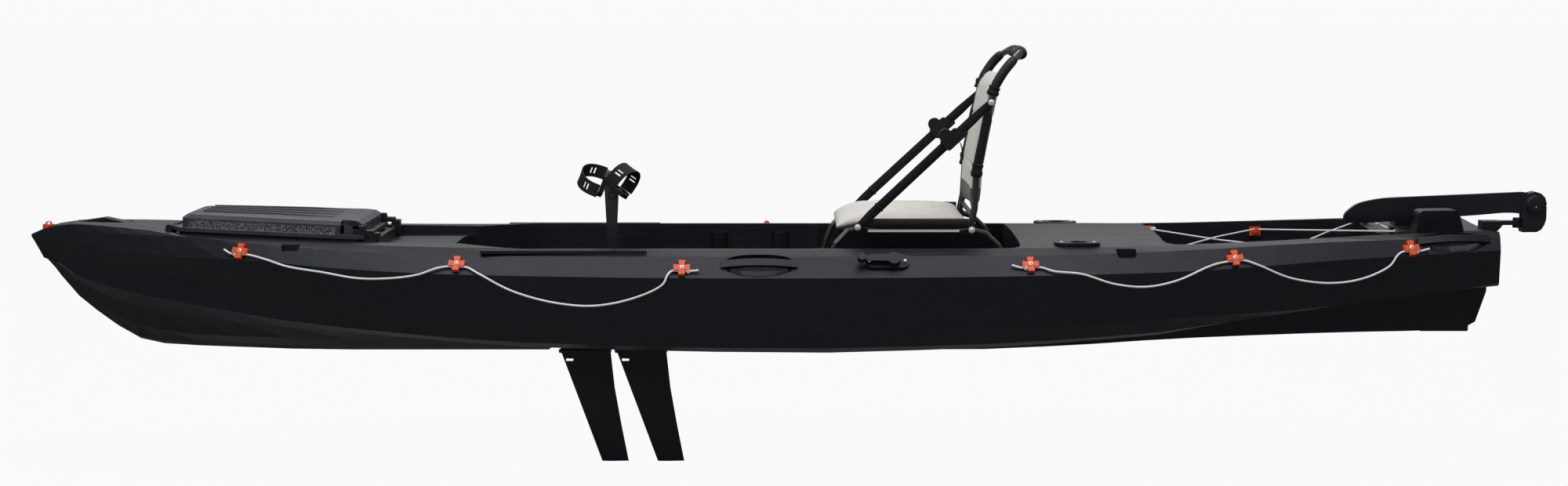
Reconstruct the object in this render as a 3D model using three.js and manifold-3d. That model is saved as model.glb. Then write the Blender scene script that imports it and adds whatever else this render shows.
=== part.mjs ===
// A sit-on-top pedal kayak with a fin drive, a framed seat and a stern rudder.
// Millimetres. X runs along the boat with the bow at minus X, Y runs to starboard,
// Z is up, and the origin is on the flat of the keel, half way along the hull.
import * as THREE from 'three';
import { mergeVertices } from 'three/addons/utils/BufferGeometryUtils.js';
import Module from 'manifold-3d';

const wasm = await Module();
wasm.setup();

// Driving dimensions of the boat
const hull_length = 4320;
const half_length = hull_length / 2;
const hull_beam = 860;
const gunwale_height = 338;
const running_gap = 0.3;
const cut_overrun = 60;
const deck_clearance = 80;

// Hull details
const keel_half_width = 44;
const stem_half_width = 3;
const skeg_half_width = 17;
const skeg_flare = 18;
const transom_bow = 25;
const skeg_heel_setback = 40;
const skeg_heel_x = half_length - skeg_heel_setback;
const skeg_heel_height = 60;
const skeg_knuckle_setback = 2;
const skeg_knuckle_x = half_length - skeg_knuckle_setback;
const skeg_knuckle_height = 82;
const skeg_top_height = 178;

// Cockpit, wells and recesses
const cockpit_front = -890;
const cockpit_front_half = 200;
const cockpit_shoulder_x = -690;
const cockpit_half = 322;
const cockpit_back = 770;
const cockpit_floor = 130;
const seat_bay_front = 165;
const seat_deck_height = 240;
const well_corner = 60;
const fore_step_front = -1096;
const fore_step_half = 225;
const fore_step_floor = 316;
const drive_well_front = -612;
const drive_well_back = -234;
const drive_well_half = 60;
const tank_front = 1185;
const tank_back_setback = 310;
const tank_back = half_length - tank_back_setback;
const tank_front_half = 285;
const tank_back_half = 214;
const tank_floor = 262;
const scupper_radius = 17;
const foot_scupper_x = -130;
const foot_scupper_half_gap = 190;
const tank_scupper_x = 1310;
const tank_scupper_half_gap = 110;
const scoop_x = -1327;
const scoop_half_top = 36;
const scoop_half_bottom = 24;
const scoop_bottom = 326;
const scoop_inner_half = 262;
const notch_x = 1064;
const notch_half = 28;
const notch_bottom = 314;
const notch_inner_half = 318;
const shoulder_front_setback = 224;
const shoulder_front = half_length - shoulder_front_setback;
const shoulder_back_setback = 67;
const shoulder_back = half_length - shoulder_back_setback;
const shoulder_bevel = 26;
const shoulder_top = 428;
const shoulder_inner_front = 86;
const shoulder_inner_back = 54;
const shoulder_outer_front = 150;
const shoulder_outer_back = 128;
const cockpit_rib_radius = 26;
const cockpit_rib_x = -112;
const cockpit_rib_pitch = 190;

// Hatch, in its own frame: x aft from the hinge pin, z square to the lid
const hatch_pin_setback = 444;
const hatch_pin_x = hatch_pin_setback - half_length;
const hatch_pin_height = 377;
const hatch_drop = 20.6;
const hatch_slope = Math.atan2(hatch_drop, fore_step_front - hatch_pin_x);
const lid_front = 18;
const lid_shelf_gap = 28;
const lid_length = fore_step_front - hatch_pin_x - lid_front - lid_shelf_gap;
const lid_front_half = 152;
const lid_back_half = 216;
const lid_corner = 46;
const lid_underside = -7;
const lid_flange = 11;
const lid_wall_inset = 17;
const lid_wall_height = 26;
const lid_crown = 15;
const lid_rib_radius = 9;
const lid_rib_count = 4;
const lid_rib_inset = 62;
const lid_shell = 4;
const coaming_width = 14;
const coaming_height = 12;
const seal_width = 8;
const seal_height = 3;
const bucket_inset = 22;
const bucket_floor = 205;
const hinge_pin_radius = 4;
const hinge_knuckle_radius = 9;
const hinge_knuckle_width = 34;
const hinge_offset = 98;
const hinge_ear_width = 12;
const latch_reach = 72;
const latch_overhang = 21;
const latch_width = 34;
const latch_thickness = 13;
const latch_offset = 176;
const latch_knob_radius = 14;
const latch_knob_height = 12;
const catch_depth = 26;
const catch_length = 16;

// Carry handles
const handle_length = 216;
const handle_width = 22;
const handle_thickness = 12;
const handle_arch = 12;
const handle_x = 20;
const handle_pocket_half_length = 104;
const handle_pocket_depth = 36;
const handle_pocket_half_height = 42;
const handle_foot = 14;
const stern_handle_setback = 138;
const stern_handle_x = half_length - stern_handle_setback;
const bow_handle_front_setback = 114;
const bow_handle_front = bow_handle_front_setback - half_length;
const bow_handle_back_setback = 334;
const bow_handle_back = bow_handle_back_setback - half_length;
const bow_handle_half_width = 20;
const bow_handle_thickness = 12;
const bow_handle_top = 394;
const bow_pocket_half = 42;
const bow_pocket_depth = 44;
const bow_pocket_margin = 24;
const padeye_setback = 52;
const padeye_x = padeye_setback - half_length;
const padeye_length = 34;
const padeye_width = 20;
const padeye_height = 18;
const padeye_eye_radius = 5;

// Gear tracks and rod holders
const track_front = -772;
const track_back = -300;
const track_offset = 347;
const track_width = 32;
const track_height = 9;
const track_slot = 9;
const track_lip = 3;
const track_seat_height = 328;
const rod_x = 932;
const rod_offset = 270;
const rod_seat_height = 343;
const rod_flange_length = 132;
const rod_flange_width = 62;
const rod_flange_thickness = 8;
const rod_tube_radius = 27;
const rod_bore_radius = 22;
const rod_tube_length = 190;
const rod_lean_degrees = 28;

// Perimeter line and its guides
const guide_arm = 23;
const guide_waist = 8;
const guide_flare_share = 0.42;
const guide_way_drop = 9;
const guide_thickness = 12;
const line_radius = 3;
const line_height = 4.6;
const line_clearance = 1.6;
const knot_radius = 6;

// Bungee over the tank well
const bungee_radius = 2.5;
const hook_front_margin = 36;
const hook_front_x = tank_front + hook_front_margin;
const hook_mid_share = 0.5474;
const hook_mid_x = tank_front + hook_mid_share * (tank_back - tank_front);
const hook_height = 330;
const hook_plate_length = 34;
const hook_plate_height = 20;
const hook_plate_thickness = 6;
const hook_peg_radius = 5;
const hook_peg_reach = 20;
const post_margin = 16;
const post_x = tank_back + post_margin;
const post_half_gap = 150;
const post_radius = 6;
const post_height = 14;

// Steering lever
const lever_pivot_x = 400;
const lever_base_length = 124;
const lever_base_width = 44;
const lever_base_thickness = 9;
const lever_hub_radius = 19;
const lever_hub_height = 13;
const lever_arm_length = 104;
const lever_arm_width = 20;
const lever_arm_thickness = 10;
const lever_knob_radius = 12;

// Rudder
const bracket_overhang = 12;
const bracket_front = half_length + bracket_overhang;
const bracket_height = 377;
const bracket_thickness = 30;
const bracket_half_width = 24;
const pintle_overhang = 120;
const pintle_x = half_length + pintle_overhang;
const pintle_radius = 6;
const sleeve_radius = 12;
const ear_thickness = 9;
const rudder_pivot_overhang = 167;
const rudder_pivot_x = half_length + rudder_pivot_overhang;
const rudder_pivot_height = 435;
const rudder_cheek_radius = 36;
const rudder_cheek_thickness = 9;
const rudder_stem_half_width = 19;
const rudder_bottom = 350;
const blade_thickness = 15;
const blade_bolt_radius = 7;
const blade_length = 565;
const blade_tip_x = rudder_pivot_x - blade_length;

// Seat
const seat_half_width = 240;
const seat_tube_radius = 9;
const seat_front_bolt_x = 302;
const seat_pivot_x = 631;
const seat_pivot_height = 384;
const seat_front_bolt_rise = 8;
const seat_front_bolt_height = seat_pivot_height + seat_front_bolt_rise;
const seat_rail_drop = 6;
const seat_rail_height = seat_pivot_height - seat_rail_drop;
const carrier_radius = 6;
const back_inset = 26;
const back_half_width = seat_half_width - back_inset;
const back_tube_radius = 10;
const back_bolt_x = 685;
const back_bolt_rise = 366;
const back_bolt_height = seat_pivot_height + back_bolt_rise;
const pivot_bolt_radius = 6;
const seat_pad_front = 234;
const seat_pad_back = 628;
const seat_pad_inset = 40;
const seat_pad_half = seat_half_width - seat_pad_inset;
const seat_pad_rise = 3.5;
const seat_pad_base = seat_pivot_height + seat_pad_rise;
const seat_pad_edge = 24;
const seat_pad_crown = 30;
const seat_pad_nose = 19;
const back_pad_thickness = 26;
const back_pad_rise = 41;
const back_pad_bottom = seat_pivot_height + back_pad_rise;
const back_pad_height = 411;
const back_pad_top = back_pad_bottom + back_pad_height;
const back_pad_hollow = 22;
const strap_width = 28;
const strap_thickness = 3;
const buckle_length = 62;
const buckle_width = 42;
const buckle_thickness = 22;

// Pedal drive
const crank_x = -425;
const crank_height = 168;
const shaft_radius = 9;
const shaft_half = 100;
const spine_half = 55;
const spine_floor = 30;
const spine_flange_margin = 24;
const spine_flange_thickness = 9;
const spine_hump_radius = 34;
const spine_hump_length = 240;
const crank_inner = 62;
const crank_arm_thickness = 12;
const crank_arm_width = 25;
const crank_hub_radius = 24;
const crank_hub_width = 24;
const crank_reach = 308;
const crank_split_degrees = 2.7;
const pedal_pin_radius = 6;
const pedal_length = 80;
const pedal_width = 88;
const pedal_thickness = 12;
const pedal_rise = 19;
const pedal_lug_radius = 12;
const pedal_slot = 9;
const pedal_gap = 3;
const near_pedal_degrees = 36;
const far_pedal_degrees = -69;
const foot_loop_height = 78;
const foot_loop_width = 40;
const foot_loop_thickness = 3.5;

// Fins
const fin_axis_height = 14;
const fin_axle_radius = 5;
const fin_hub_radius = 12;
const fin_front_hub = -588;
const fin_pitch = 168;
const fin_root_chord = 150;
const fin_tip_chord = 80;
const fin_span = 346;
const fin_rake = 122;
const fin_root_thickness = 17;
const fin_tip_thickness = 9;
const fin_plate_thickness = 9;
const fin_plate_half_width = 15;
const fin_neck_height = 36;
const fin_window_length = 22;
const fin_window_height = 9;
const hanger_thickness = 9;

// Skid plate under the skeg
const skid_front_setback = 166;
const skid_front = half_length - skid_front_setback;
const skid_back_setback = 20;
const skid_back = half_length - skid_back_setback;
const skid_thickness = 4;
const skid_rise = 15;

const half_beam = hull_beam / 2;

// Curves of the hull, as shares of half its length and of its beam or depth
const breadth_shares = [
  [-1, 0.012], [-0.963, 0.09], [-0.926, 0.174], [-0.833, 0.384], [-0.694, 0.628],
  [-0.556, 0.79], [-0.417, 0.895], [-0.278, 0.958], [-0.139, 0.993], [0, 1], [0.139, 0.995],
  [0.278, 0.977], [0.417, 0.935], [0.556, 0.87], [0.694, 0.786], [0.833, 0.679],
  [0.926, 0.609], [1, 0.56],
];
const keel_height_shares = [
  [-1, 0.985], [-0.979, 0.79], [-0.946, 0.56], [-0.913, 0.355], [-0.876, 0.168],
  [-0.853, 0.082], [-0.826, 0.04], [-0.78, 0.02], [-0.7, 0.008], [-0.611, 0], [0.278, 0],
  [0.456, 0.04], [0.5875, 0.09], [0.83, 0.148], [0.922, 0.16], [1, 0.18],
];
const root_height_shares = [
  [-1, 0.988], [-0.926, 0.42], [-0.833, 0.08], [-0.7, 0.05], [-0.5, 0.03], [0.278, 0.035],
  [0.456, 0.16], [0.5875, 0.28], [0.7, 0.43], [0.83, 0.55], [1, 0.6],
];
const tunnel_height_shares = [
  [-1, 0.99], [-0.926, 0.47], [-0.833, 0.2], [-0.76, 0.15], [-0.6, 0.135], [-0.486, 0.15],
  [-0.37, 0.166], [-0.25, 0.175], [0.1, 0.16], [0.23, 0.178], [0.35, 0.207], [0.45, 0.252],
  [0.56, 0.31], [0.64, 0.4], [0.72, 0.49], [0.84, 0.59], [0.96, 0.65], [1, 0.655],
];
const bilge_height_shares = [
  [-1, 0.995], [-0.926, 0.62], [-0.833, 0.45], [-0.76, 0.38], [-0.6, 0.28], [-0.486, 0.225],
  [-0.37, 0.168], [-0.25, 0.133], [0.1, 0.1], [0.23, 0.122], [0.35, 0.15], [0.43, 0.187],
  [0.545, 0.24], [0.594, 0.292], [0.643, 0.352], [0.717, 0.42], [0.84, 0.54], [0.966, 0.613],
  [1, 0.625],
];
const crease_height_shares = [
  [-1, 1], [-0.977, 0.79], [-0.77, 0.7], [-0.609, 0.5], [-0.372, 0.388], [-0.185, 0.356],
  [0, 0.335], [0.43, 0.374], [0.544, 0.414], [0.744, 0.484], [0.894, 0.583], [1, 0.663],
];
const chine_height_shares = [
  [-1, 1.003], [-0.9, 0.93], [-0.83, 0.895], [-0.675, 0.888], [-0.53, 0.834], [-0.39, 0.808],
  [0.04, 0.79], [0.3, 0.799], [0.54, 0.82], [0.79, 0.902], [1, 0.956],
];
const break_height_shares = [
  [-1, 1.006], [-0.96, 1.04], [-0.777, 1.06], [-0.676, 1.025], [-0.598, 0.994],
  [-0.39, 0.953], [0.04, 0.957], [0.38, 0.96], [0.54, 0.982], [0.79, 1.045], [1, 1.06],
];
const gunwale_height_shares = [
  [-1, 1.012], [-0.96, 1.1], [-0.926, 1.122], [-0.85, 1.105], [-0.74, 1.06], [-0.55, 1.02],
  [-0.37, 1.003], [0, 1], [0.37, 1.004], [0.55, 1.014], [0.7, 1.045], [0.88, 1.09], [1, 1.1],
];
const deck_height_shares = [
  [-1, 1.016], [-0.963, 1.11], [-0.926, 1.14], [-0.85, 1.125], [-0.74, 1.08], [-0.55, 1.04],
  [-0.42, 1.02], [0, 1.005], [0.35, 1.03], [0.42, 1.075], [0.54, 1.07], [0.6, 1.04],
  [0.85, 1.035], [0.9, 1.05], [1, 1.06],
];
const station_shares = [
  -1, -0.982, -0.96, -0.935, -0.91, -0.882, -0.853, -0.82, -0.77, -0.71, -0.64, -0.56, -0.48,
  -0.4, -0.3, -0.18, -0.05, 0.1, 0.22, 0.32, 0.4, 0.47, 0.54, 0.61, 0.69, 0.77, 0.84, 0.9, 0.95, 1,
];
const keel_width_shares = [[-1, 0], [-0.8, 0.02], [-0.55, 1], [0.3, 1], [0.6, 0.35], [1, 0.35]];
const tunnel_share = 0.35;
const pontoon_share = 0.54;
const bilge_share = 0.7;
const bilge_round_share = 0.86;
const bilge_round_rise_share = 0.3;
const pontoon_drop_share = 0.75;
const break_share = 0.895;
const gunwale_share = 0.78;
const deck_camber_share = 0.45;
const crease_shares = [[-1, 0.8], [-0.7, 0.87], [-0.4, 0.94], [0, 0.953], [0.5, 0.95], [1, 0.94]];
const transom_start_share = 0.92;

// Fin section and outline shares
const foil_shares = [
  [0, 0], [0.04, 0.55], [0.14, 0.9], [0.3, 1], [0.55, 0.78], [0.8, 0.42], [1, 0.14],
];

// Colours and finishes
function finish(name, colour, roughness, metalness) {
  const material = new THREE.MeshStandardMaterial({ color: colour, roughness, metalness });
  material.name = name;
  return material;
}
const hull_plastic = finish('hull_plastic', 0x2b2c30, 0.55, 0);
const black_nylon = finish('black_nylon', 0x18191b, 0.5, 0);
const orange_nylon = finish('orange_nylon', 0xf0501e, 0.45, 0);
const white_cord = finish('white_cord', 0xe6e6e2, 0.8, 0);
const black_tube = finish('black_tube', 0x16171a, 0.35, 0.3);
const cream_fabric = finish('cream_fabric', 0xd9d6cb, 0.9, 0);
const black_webbing = finish('black_webbing', 0x151619, 0.85, 0);
const seal_rubber = finish('seal_rubber', 0x101010, 0.9, 0);
const bare_steel = finish('bare_steel', 0xa9abad, 0.35, 1);
const fin_plastic = finish('fin_plastic', 0x141416, 0.6, 0);

// Solids and how they are made
function solid(geometry) {
  const bare = geometry.clone();
  bare.deleteAttribute('normal');
  bare.deleteAttribute('uv');
  const welded = mergeVertices(bare);
  const vertProperties = new Float32Array(welded.attributes.position.array);
  const triVerts = new Uint32Array(welded.index.array);
  return new wasm.Manifold(new wasm.Mesh({ numProp: 3, vertProperties, triVerts }));
}

function surfaceOf(manifold) {
  const { vertProperties, triVerts } = manifold.getMesh();
  const geometry = new THREE.BufferGeometry();
  geometry.setAttribute('position', new THREE.BufferAttribute(vertProperties, 3));
  geometry.setIndex(new THREE.BufferAttribute(triVerts, 1));
  return geometry;
}

function largest(manifold) {
  const bodies = manifold.decompose();
  return bodies.reduce((best, body) => (body.volume() > best.volume() ? body : best));
}

function joined(first, ...others) {
  return others.reduce((sum, next) => sum.add(next), first);
}

function cutBy(first, ...others) {
  return others.reduce((rest, next) => rest.subtract(next), first);
}

function block(x0, x1, y0, y1, z0, z1) {
  const geometry = new THREE.BoxGeometry(x1 - x0, y1 - y0, z1 - z0);
  geometry.translate((x0 + x1) / 2, (y0 + y1) / 2, (z0 + z1) / 2);
  return solid(geometry);
}

// A closed outline whose corners are rounded, each by no more than its sides allow
const corner_room_share = 0.96;

function rounded(points, radius) {
  const corners = points.map(([x, y]) => new THREE.Vector2(x, y));
  const shape = new THREE.Shape();
  corners.forEach((corner, i) => {
    const before = corners[(i + corners.length - 1) % corners.length];
    const after = corners[(i + 1) % corners.length];
    const room = Math.min(corner.distanceTo(before), corner.distanceTo(after)) / 2;
    const back = Math.min(radius, room * corner_room_share);
    const start = corner.clone().add(before.clone().sub(corner).setLength(back));
    const end = corner.clone().add(after.clone().sub(corner).setLength(back));
    if (i === 0) shape.moveTo(start.x, start.y);
    else shape.lineTo(start.x, start.y);
    if (back > 0) shape.quadraticCurveTo(corner.x, corner.y, end.x, end.y);
  });
  shape.closePath();
  return shape;
}

function extruded(shape, depth, curveSegments) {
  return new THREE.ExtrudeGeometry(shape, { depth, bevelEnabled: false, curveSegments });
}

// An outline in plan, raised from z0 to z1
function slab(shape, z0, z1, curveSegments = 3) {
  const geometry = extruded(shape, z1 - z0, curveSegments);
  geometry.translate(0, 0, z0);
  return solid(geometry);
}

// An outline in side view, x and z, carried across from y0 to y1
function sideways(shape, y0, y1, curveSegments = 3) {
  const geometry = extruded(shape, y1 - y0, curveSegments);
  geometry.rotateX(Math.PI / 2);
  geometry.translate(0, y1, 0);
  return solid(geometry);
}

function rod(from, to, radius, sides = 16, endRadius = radius) {
  const start = new THREE.Vector3(...from);
  const way = new THREE.Vector3(...to).sub(start);
  const geometry = new THREE.CylinderGeometry(endRadius, radius, way.length(), sides);
  geometry.translate(0, way.length() / 2, 0);
  const up = new THREE.Vector3(0, 1, 0);
  geometry.applyQuaternion(new THREE.Quaternion().setFromUnitVectors(up, way.normalize()));
  geometry.translate(start.x, start.y, start.z);
  return solid(geometry);
}

function ball(centre, rx, ry, rz, sides = 12) {
  const geometry = new THREE.SphereGeometry(1, sides, sides / 2);
  geometry.scale(rx, ry, rz);
  geometry.translate(...centre);
  return solid(geometry);
}

function polygon(radius, sides) {
  const shape = new THREE.Shape();
  for (let i = 0; i < sides; i += 1) {
    const turn = (2 * Math.PI * i) / sides;
    if (i === 0) shape.moveTo(radius, 0);
    else shape.lineTo(radius * Math.cos(turn), radius * Math.sin(turn));
  }
  shape.closePath();
  return shape;
}

function tube(points, radius, sides, steps) {
  const path = new THREE.CatmullRomCurve3(points.map((p) => new THREE.Vector3(...p)));
  const options = { extrudePath: path, steps, bevelEnabled: false, curveSegments: 1 };
  return solid(new THREE.ExtrudeGeometry(polygon(radius, sides), options));
}

// A path of straight runs between its points
class Polyline extends THREE.Curve {
  constructor(points) {
    super();
    this.points = points.map((p) => new THREE.Vector3(...p));
  }

  getPoint(t, target = new THREE.Vector3()) {
    const place = t * (this.points.length - 1);
    const i = Math.min(Math.floor(place), this.points.length - 2);
    return target.lerpVectors(this.points[i], this.points[i + 1], place - i);
  }

  getPointAt(u, target) {
    return this.getPoint(u, target);
  }

  getTangentAt(u, target = new THREE.Vector3()) {
    const reach = 0.5 / (this.points.length - 1);
    const ahead = this.getPoint(Math.min(u + reach, 1));
    return target.copy(ahead).sub(this.getPoint(Math.max(u - reach, 0))).normalize();
  }
}

function lacing(points, radius, sides) {
  const path = new Polyline(points);
  const options = { extrudePath: path, steps: points.length - 1, bevelEnabled: false, curveSegments: 1 };
  return solid(new THREE.ExtrudeGeometry(polygon(radius, sides), options));
}

function placed(manifold, matrix) {
  return manifold.transform(matrix.elements);
}

// Smooth curve through a table of shares, with no overshoot between its points
function fairCurve(shares, size) {
  const xs = shares.map(([x]) => x * half_length);
  const ys = shares.map(([, y]) => y * size);
  const rises = xs.slice(1).map((x, i) => (ys[i + 1] - ys[i]) / (x - xs[i]));
  const slopes = xs.map((x, i) => {
    if (i === 0) return rises[0];
    if (i === xs.length - 1) return rises[i - 1];
    const [a, b] = [rises[i - 1], rises[i]];
    return a * b <= 0 ? 0 : (2 * a * b) / (a + b);
  });
  return (x) => {
    let i = 0;
    while (i < xs.length - 2 && x > xs[i + 1]) i += 1;
    const h = xs[i + 1] - xs[i];
    const t = Math.min(Math.max((x - xs[i]) / h, 0), 1);
    const u = 1 - t;
    return u * u * (1 + 2 * t) * ys[i] + t * t * (3 - 2 * t) * ys[i + 1]
      + h * t * u * (u * slopes[i] - t * slopes[i + 1]);
  };
}

const breadth = fairCurve(breadth_shares, half_beam);
const keelHeight = fairCurve(keel_height_shares, gunwale_height);
const rootHeight = fairCurve(root_height_shares, gunwale_height);
const tunnelHeight = fairCurve(tunnel_height_shares, gunwale_height);
const bilgeHeight = fairCurve(bilge_height_shares, gunwale_height);
const creaseHeight = fairCurve(crease_height_shares, gunwale_height);
const chineHeight = fairCurve(chine_height_shares, gunwale_height);
const breakHeight = fairCurve(break_height_shares, gunwale_height);
const gunwaleHeight = fairCurve(gunwale_height_shares, gunwale_height);
const deckHeight = fairCurve(deck_height_shares, gunwale_height);
const keelShare = fairCurve(keel_width_shares, 1);
const creaseShare = fairCurve(crease_shares, 1);

function mix(a, b, share) {
  return a + (b - a) * share;
}

function keelHalf(x) {
  const full = x > 0 ? mix(skeg_half_width, keel_half_width, keelShare(x)) : keel_half_width;
  return Math.min(stem_half_width + (full - stem_half_width) * (x > 0 ? 1 : keelShare(x)),
    breadth(x) * tunnel_share / 2);
}

// Half of the hull's section at x, from the keel round to the middle of the deck
function halfSection(x) {
  const b = breadth(x);
  const keel = keelHalf(x);
  const root = Math.min(keel + skeg_flare, b * tunnel_share * 0.8);
  const [bilge, crease] = [bilgeHeight(x), creaseHeight(x)];
  const pontoon = mix(tunnelHeight(x), bilge, pontoon_drop_share);
  const [gunwale, deck] = [gunwaleHeight(x), deckHeight(x)];
  return [
    [0, keelHeight(x)],
    [keel, keelHeight(x)],
    [root, Math.min(rootHeight(x), mix(tunnelHeight(x), keelHeight(x), 0.1))],
    [b * tunnel_share, tunnelHeight(x)],
    [b * pontoon_share, pontoon],
    [b * bilge_share, bilge],
    [b * bilge_round_share, mix(bilge, crease, bilge_round_rise_share)],
    [b * creaseShare(x), crease],
    [b, chineHeight(x)],
    [b * break_share, breakHeight(x)],
    [b * gunwale_share, gunwale],
    [b * deck_camber_share, mix(gunwale, deck, 0.7)],
    [0, deck],
  ];
}

// The whole section as a ring, with the transom bowed aft in plan
function sectionRing(x) {
  const half = halfSection(x);
  const b = breadth(x);
  const inner = half.slice(1, -1);
  const ring = [...half, ...inner.reverse().map(([y, z]) => [-y, z])];
  const start = transom_start_share * half_length;
  const aft = transom_bow * Math.max(0, (x - start) / (half_length - start));
  return ring.map(([y, z]) => new THREE.Vector3(x + aft * (1 - (y / b) ** 2), y, z));
}

function loft(rings) {
  const n = rings[0].length;
  const points = rings.flat();
  const faces = [];
  for (let i = 0; i + 1 < rings.length; i += 1) {
    for (let j = 0; j < n; j += 1) {
      const k = (j + 1) % n;
      const [a, b, c, d] = [i * n + j, i * n + k, (i + 1) * n + k, (i + 1) * n + j];
      faces.push([a, b, c], [a, c, d]);
    }
  }
  const last = (rings.length - 1) * n;
  const flat = (ring) => {
    const across = ring[1].clone().sub(ring[0]).normalize();
    const normal = new THREE.Vector3();
    ring.forEach((p, i) => {
      const q = ring[(i + 1) % n];
      normal.add(p.clone().sub(ring[0]).cross(q.clone().sub(ring[0])));
    });
    const up = normal.normalize().clone().cross(across);
    return ring.map((p) => new THREE.Vector2(p.dot(across), p.dot(up)));
  };
  const [firstCap, lastCap] = [flat(rings[0]), flat(rings[rings.length - 1])];
  for (const [a, b, c] of THREE.ShapeUtils.triangulateShape(firstCap, [])) faces.push([c, b, a]);
  for (const [a, b, c] of THREE.ShapeUtils.triangulateShape(lastCap, [])) {
    faces.push([last + a, last + b, last + c]);
  }
  const geometry = new THREE.BufferGeometry().setFromPoints(points);
  geometry.setIndex(faces.flat());
  const made = solid(geometry);
  if (made.volume() > 0) return made;
  geometry.setIndex(faces.map(([a, b, c]) => [a, c, b]).flat());
  return solid(geometry);
}

function hullShell() {
  return loft(station_shares.map((share) => sectionRing(share * half_length)));
}

// Plan outlines of the wells, mirrored about the keel
function mirroredPlan(half, radius) {
  const other = half.map(([x, y]) => [x, -y]).reverse();
  return rounded([...half, ...other], radius);
}

function footwell() {
  const plan = mirroredPlan([
    [cockpit_front, cockpit_front_half],
    [cockpit_shoulder_x, cockpit_half],
    [seat_bay_front + cut_overrun, cockpit_half],
  ], well_corner);
  return slab(plan, cockpit_floor, gunwale_height + cut_overrun);
}

function seatBay() {
  const plan = mirroredPlan([[seat_bay_front, cockpit_half], [cockpit_back, cockpit_half]], well_corner);
  return slab(plan, seat_deck_height, gunwale_height + 2 * cut_overrun);
}

function foreStep() {
  const plan = mirroredPlan([
    [fore_step_front, fore_step_half],
    [cockpit_front + cut_overrun, fore_step_half],
  ], well_corner / 2);
  return slab(plan, fore_step_floor, gunwale_height + cut_overrun);
}

function driveWell() {
  const plan = mirroredPlan([[drive_well_front, drive_well_half], [drive_well_back, drive_well_half]],
    drive_well_half / 3);
  return slab(plan, -cut_overrun, gunwale_height);
}

function tankWell() {
  const plan = mirroredPlan([[tank_front, tank_front_half], [tank_back, tank_back_half]], well_corner);
  return slab(plan, tank_floor, gunwale_height + 2 * cut_overrun);
}

function scuppers() {
  const places = [
    [foot_scupper_x, foot_scupper_half_gap],
    [tank_scupper_x, tank_scupper_half_gap],
  ];
  return places.flatMap(([x, y]) => [-y, y].map((side) => (
    rod([x, side, -cut_overrun], [x, side, gunwale_height], scupper_radius, 8))));
}

// The small finger scoop in each gunwale beside the hatch
function gunwaleScoops() {
  const outline = rounded([
    [scoop_x - scoop_half_top, gunwale_height + cut_overrun],
    [scoop_x - scoop_half_bottom, scoop_bottom],
    [scoop_x + scoop_half_bottom, scoop_bottom],
    [scoop_x + scoop_half_top, gunwale_height + cut_overrun],
  ], 0);
  return bothSides((side) => sideSlice(outline, side, scoop_inner_half, half_beam));
}

// The paddle notch in each gunwale behind the rod holder
function paddleNotches() {
  const outline = rounded([
    [notch_x - notch_half, gunwale_height + cut_overrun],
    [notch_x - notch_half, notch_bottom],
    [notch_x + notch_half, notch_bottom],
    [notch_x + notch_half, gunwale_height + cut_overrun],
  ], notch_half / 2);
  return bothSides((side) => sideSlice(outline, side, notch_inner_half, half_beam));
}

function bothSides(make) {
  return [-1, 1].map(make);
}

function sideSlice(outline, side, inner, outer) {
  const ys = [side * inner, side * outer].sort((a, b) => a - b);
  return sideways(outline, ...ys);
}

// Moulded shoulders that the stowed rudder blade lies between
function rudderShoulders() {
  return bothSides((side) => {
    const plan = rounded([
      [shoulder_front, side * shoulder_inner_front],
      [shoulder_back, side * shoulder_inner_back],
      [shoulder_back, side * shoulder_outer_back],
      [shoulder_front, side * shoulder_outer_front],
    ], shoulder_bevel / 2);
    const profile = rounded([
      [shoulder_front, gunwale_height],
      [shoulder_front + shoulder_bevel / 2, shoulder_top],
      [shoulder_back - shoulder_bevel, shoulder_top],
      [shoulder_back, gunwale_height],
    ], shoulder_bevel / 2);
    const across = sideways(profile, -shoulder_outer_front, shoulder_outer_front);
    return slab(plan, gunwale_height, shoulder_top).intersect(across);
  });
}

// Upright half-round ribs on the cockpit's inner walls
function cockpitRibs() {
  const places = [cockpit_rib_x, cockpit_rib_x + cockpit_rib_pitch];
  const top = gunwale_height - cockpit_rib_radius;
  return bothSides((side) => places.map((x) => (
    rod([x, side * cockpit_half, cockpit_floor], [x, side * cockpit_half, top], cockpit_rib_radius, 8)
  ))).flat();
}

// The frame of the hatch: a plane that slopes down aft from the hinge pin
const hatch_frame = new THREE.Matrix4()
  .makeRotationY(hatch_slope)
  .setPosition(hatch_pin_x, 0, hatch_pin_height);

function hatchPlan(inset) {
  const back = lid_front + lid_length;
  return mirroredPlan([
    [lid_front + inset, lid_front_half - inset],
    [back - inset, lid_back_half - inset],
  ], lid_corner - inset / 2);
}

function hatchLanding() {
  const plan = hatchPlan(-coaming_width);
  const top = gunwale_height + cut_overrun;
  return placed(slab(plan, lid_underside - coaming_height, top - gunwale_height), hatch_frame);
}

// Room in the deck for the hinge knuckles
function hingeTrough() {
  const reach = hinge_offset + hinge_knuckle_width + hinge_ear_width;
  const deep = hinge_knuckle_radius + 2 * running_gap;
  return placed(block(-deep, lid_front, -reach, reach, -deep, deck_clearance), hatch_frame);
}

function hatchCoaming() {
  const z = lid_underside - running_gap;
  const rim = slab(hatchPlan(bucket_inset - coaming_width), z - 2 * coaming_height, z - seal_height);
  return placed(rim, hatch_frame);
}

function hatchBucket() {
  const depth = hatch_pin_height - bucket_floor;
  return placed(slab(hatchPlan(bucket_inset), -depth, lid_crown), hatch_frame);
}

function hatchSeal() {
  const z = lid_underside - running_gap;
  const outer = slab(hatchPlan(bucket_inset - seal_width), z - seal_height + running_gap, z);
  const ring = outer.subtract(slab(hatchPlan(bucket_inset), -cut_overrun, 0));
  return placed(ring, hatch_frame);
}

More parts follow.
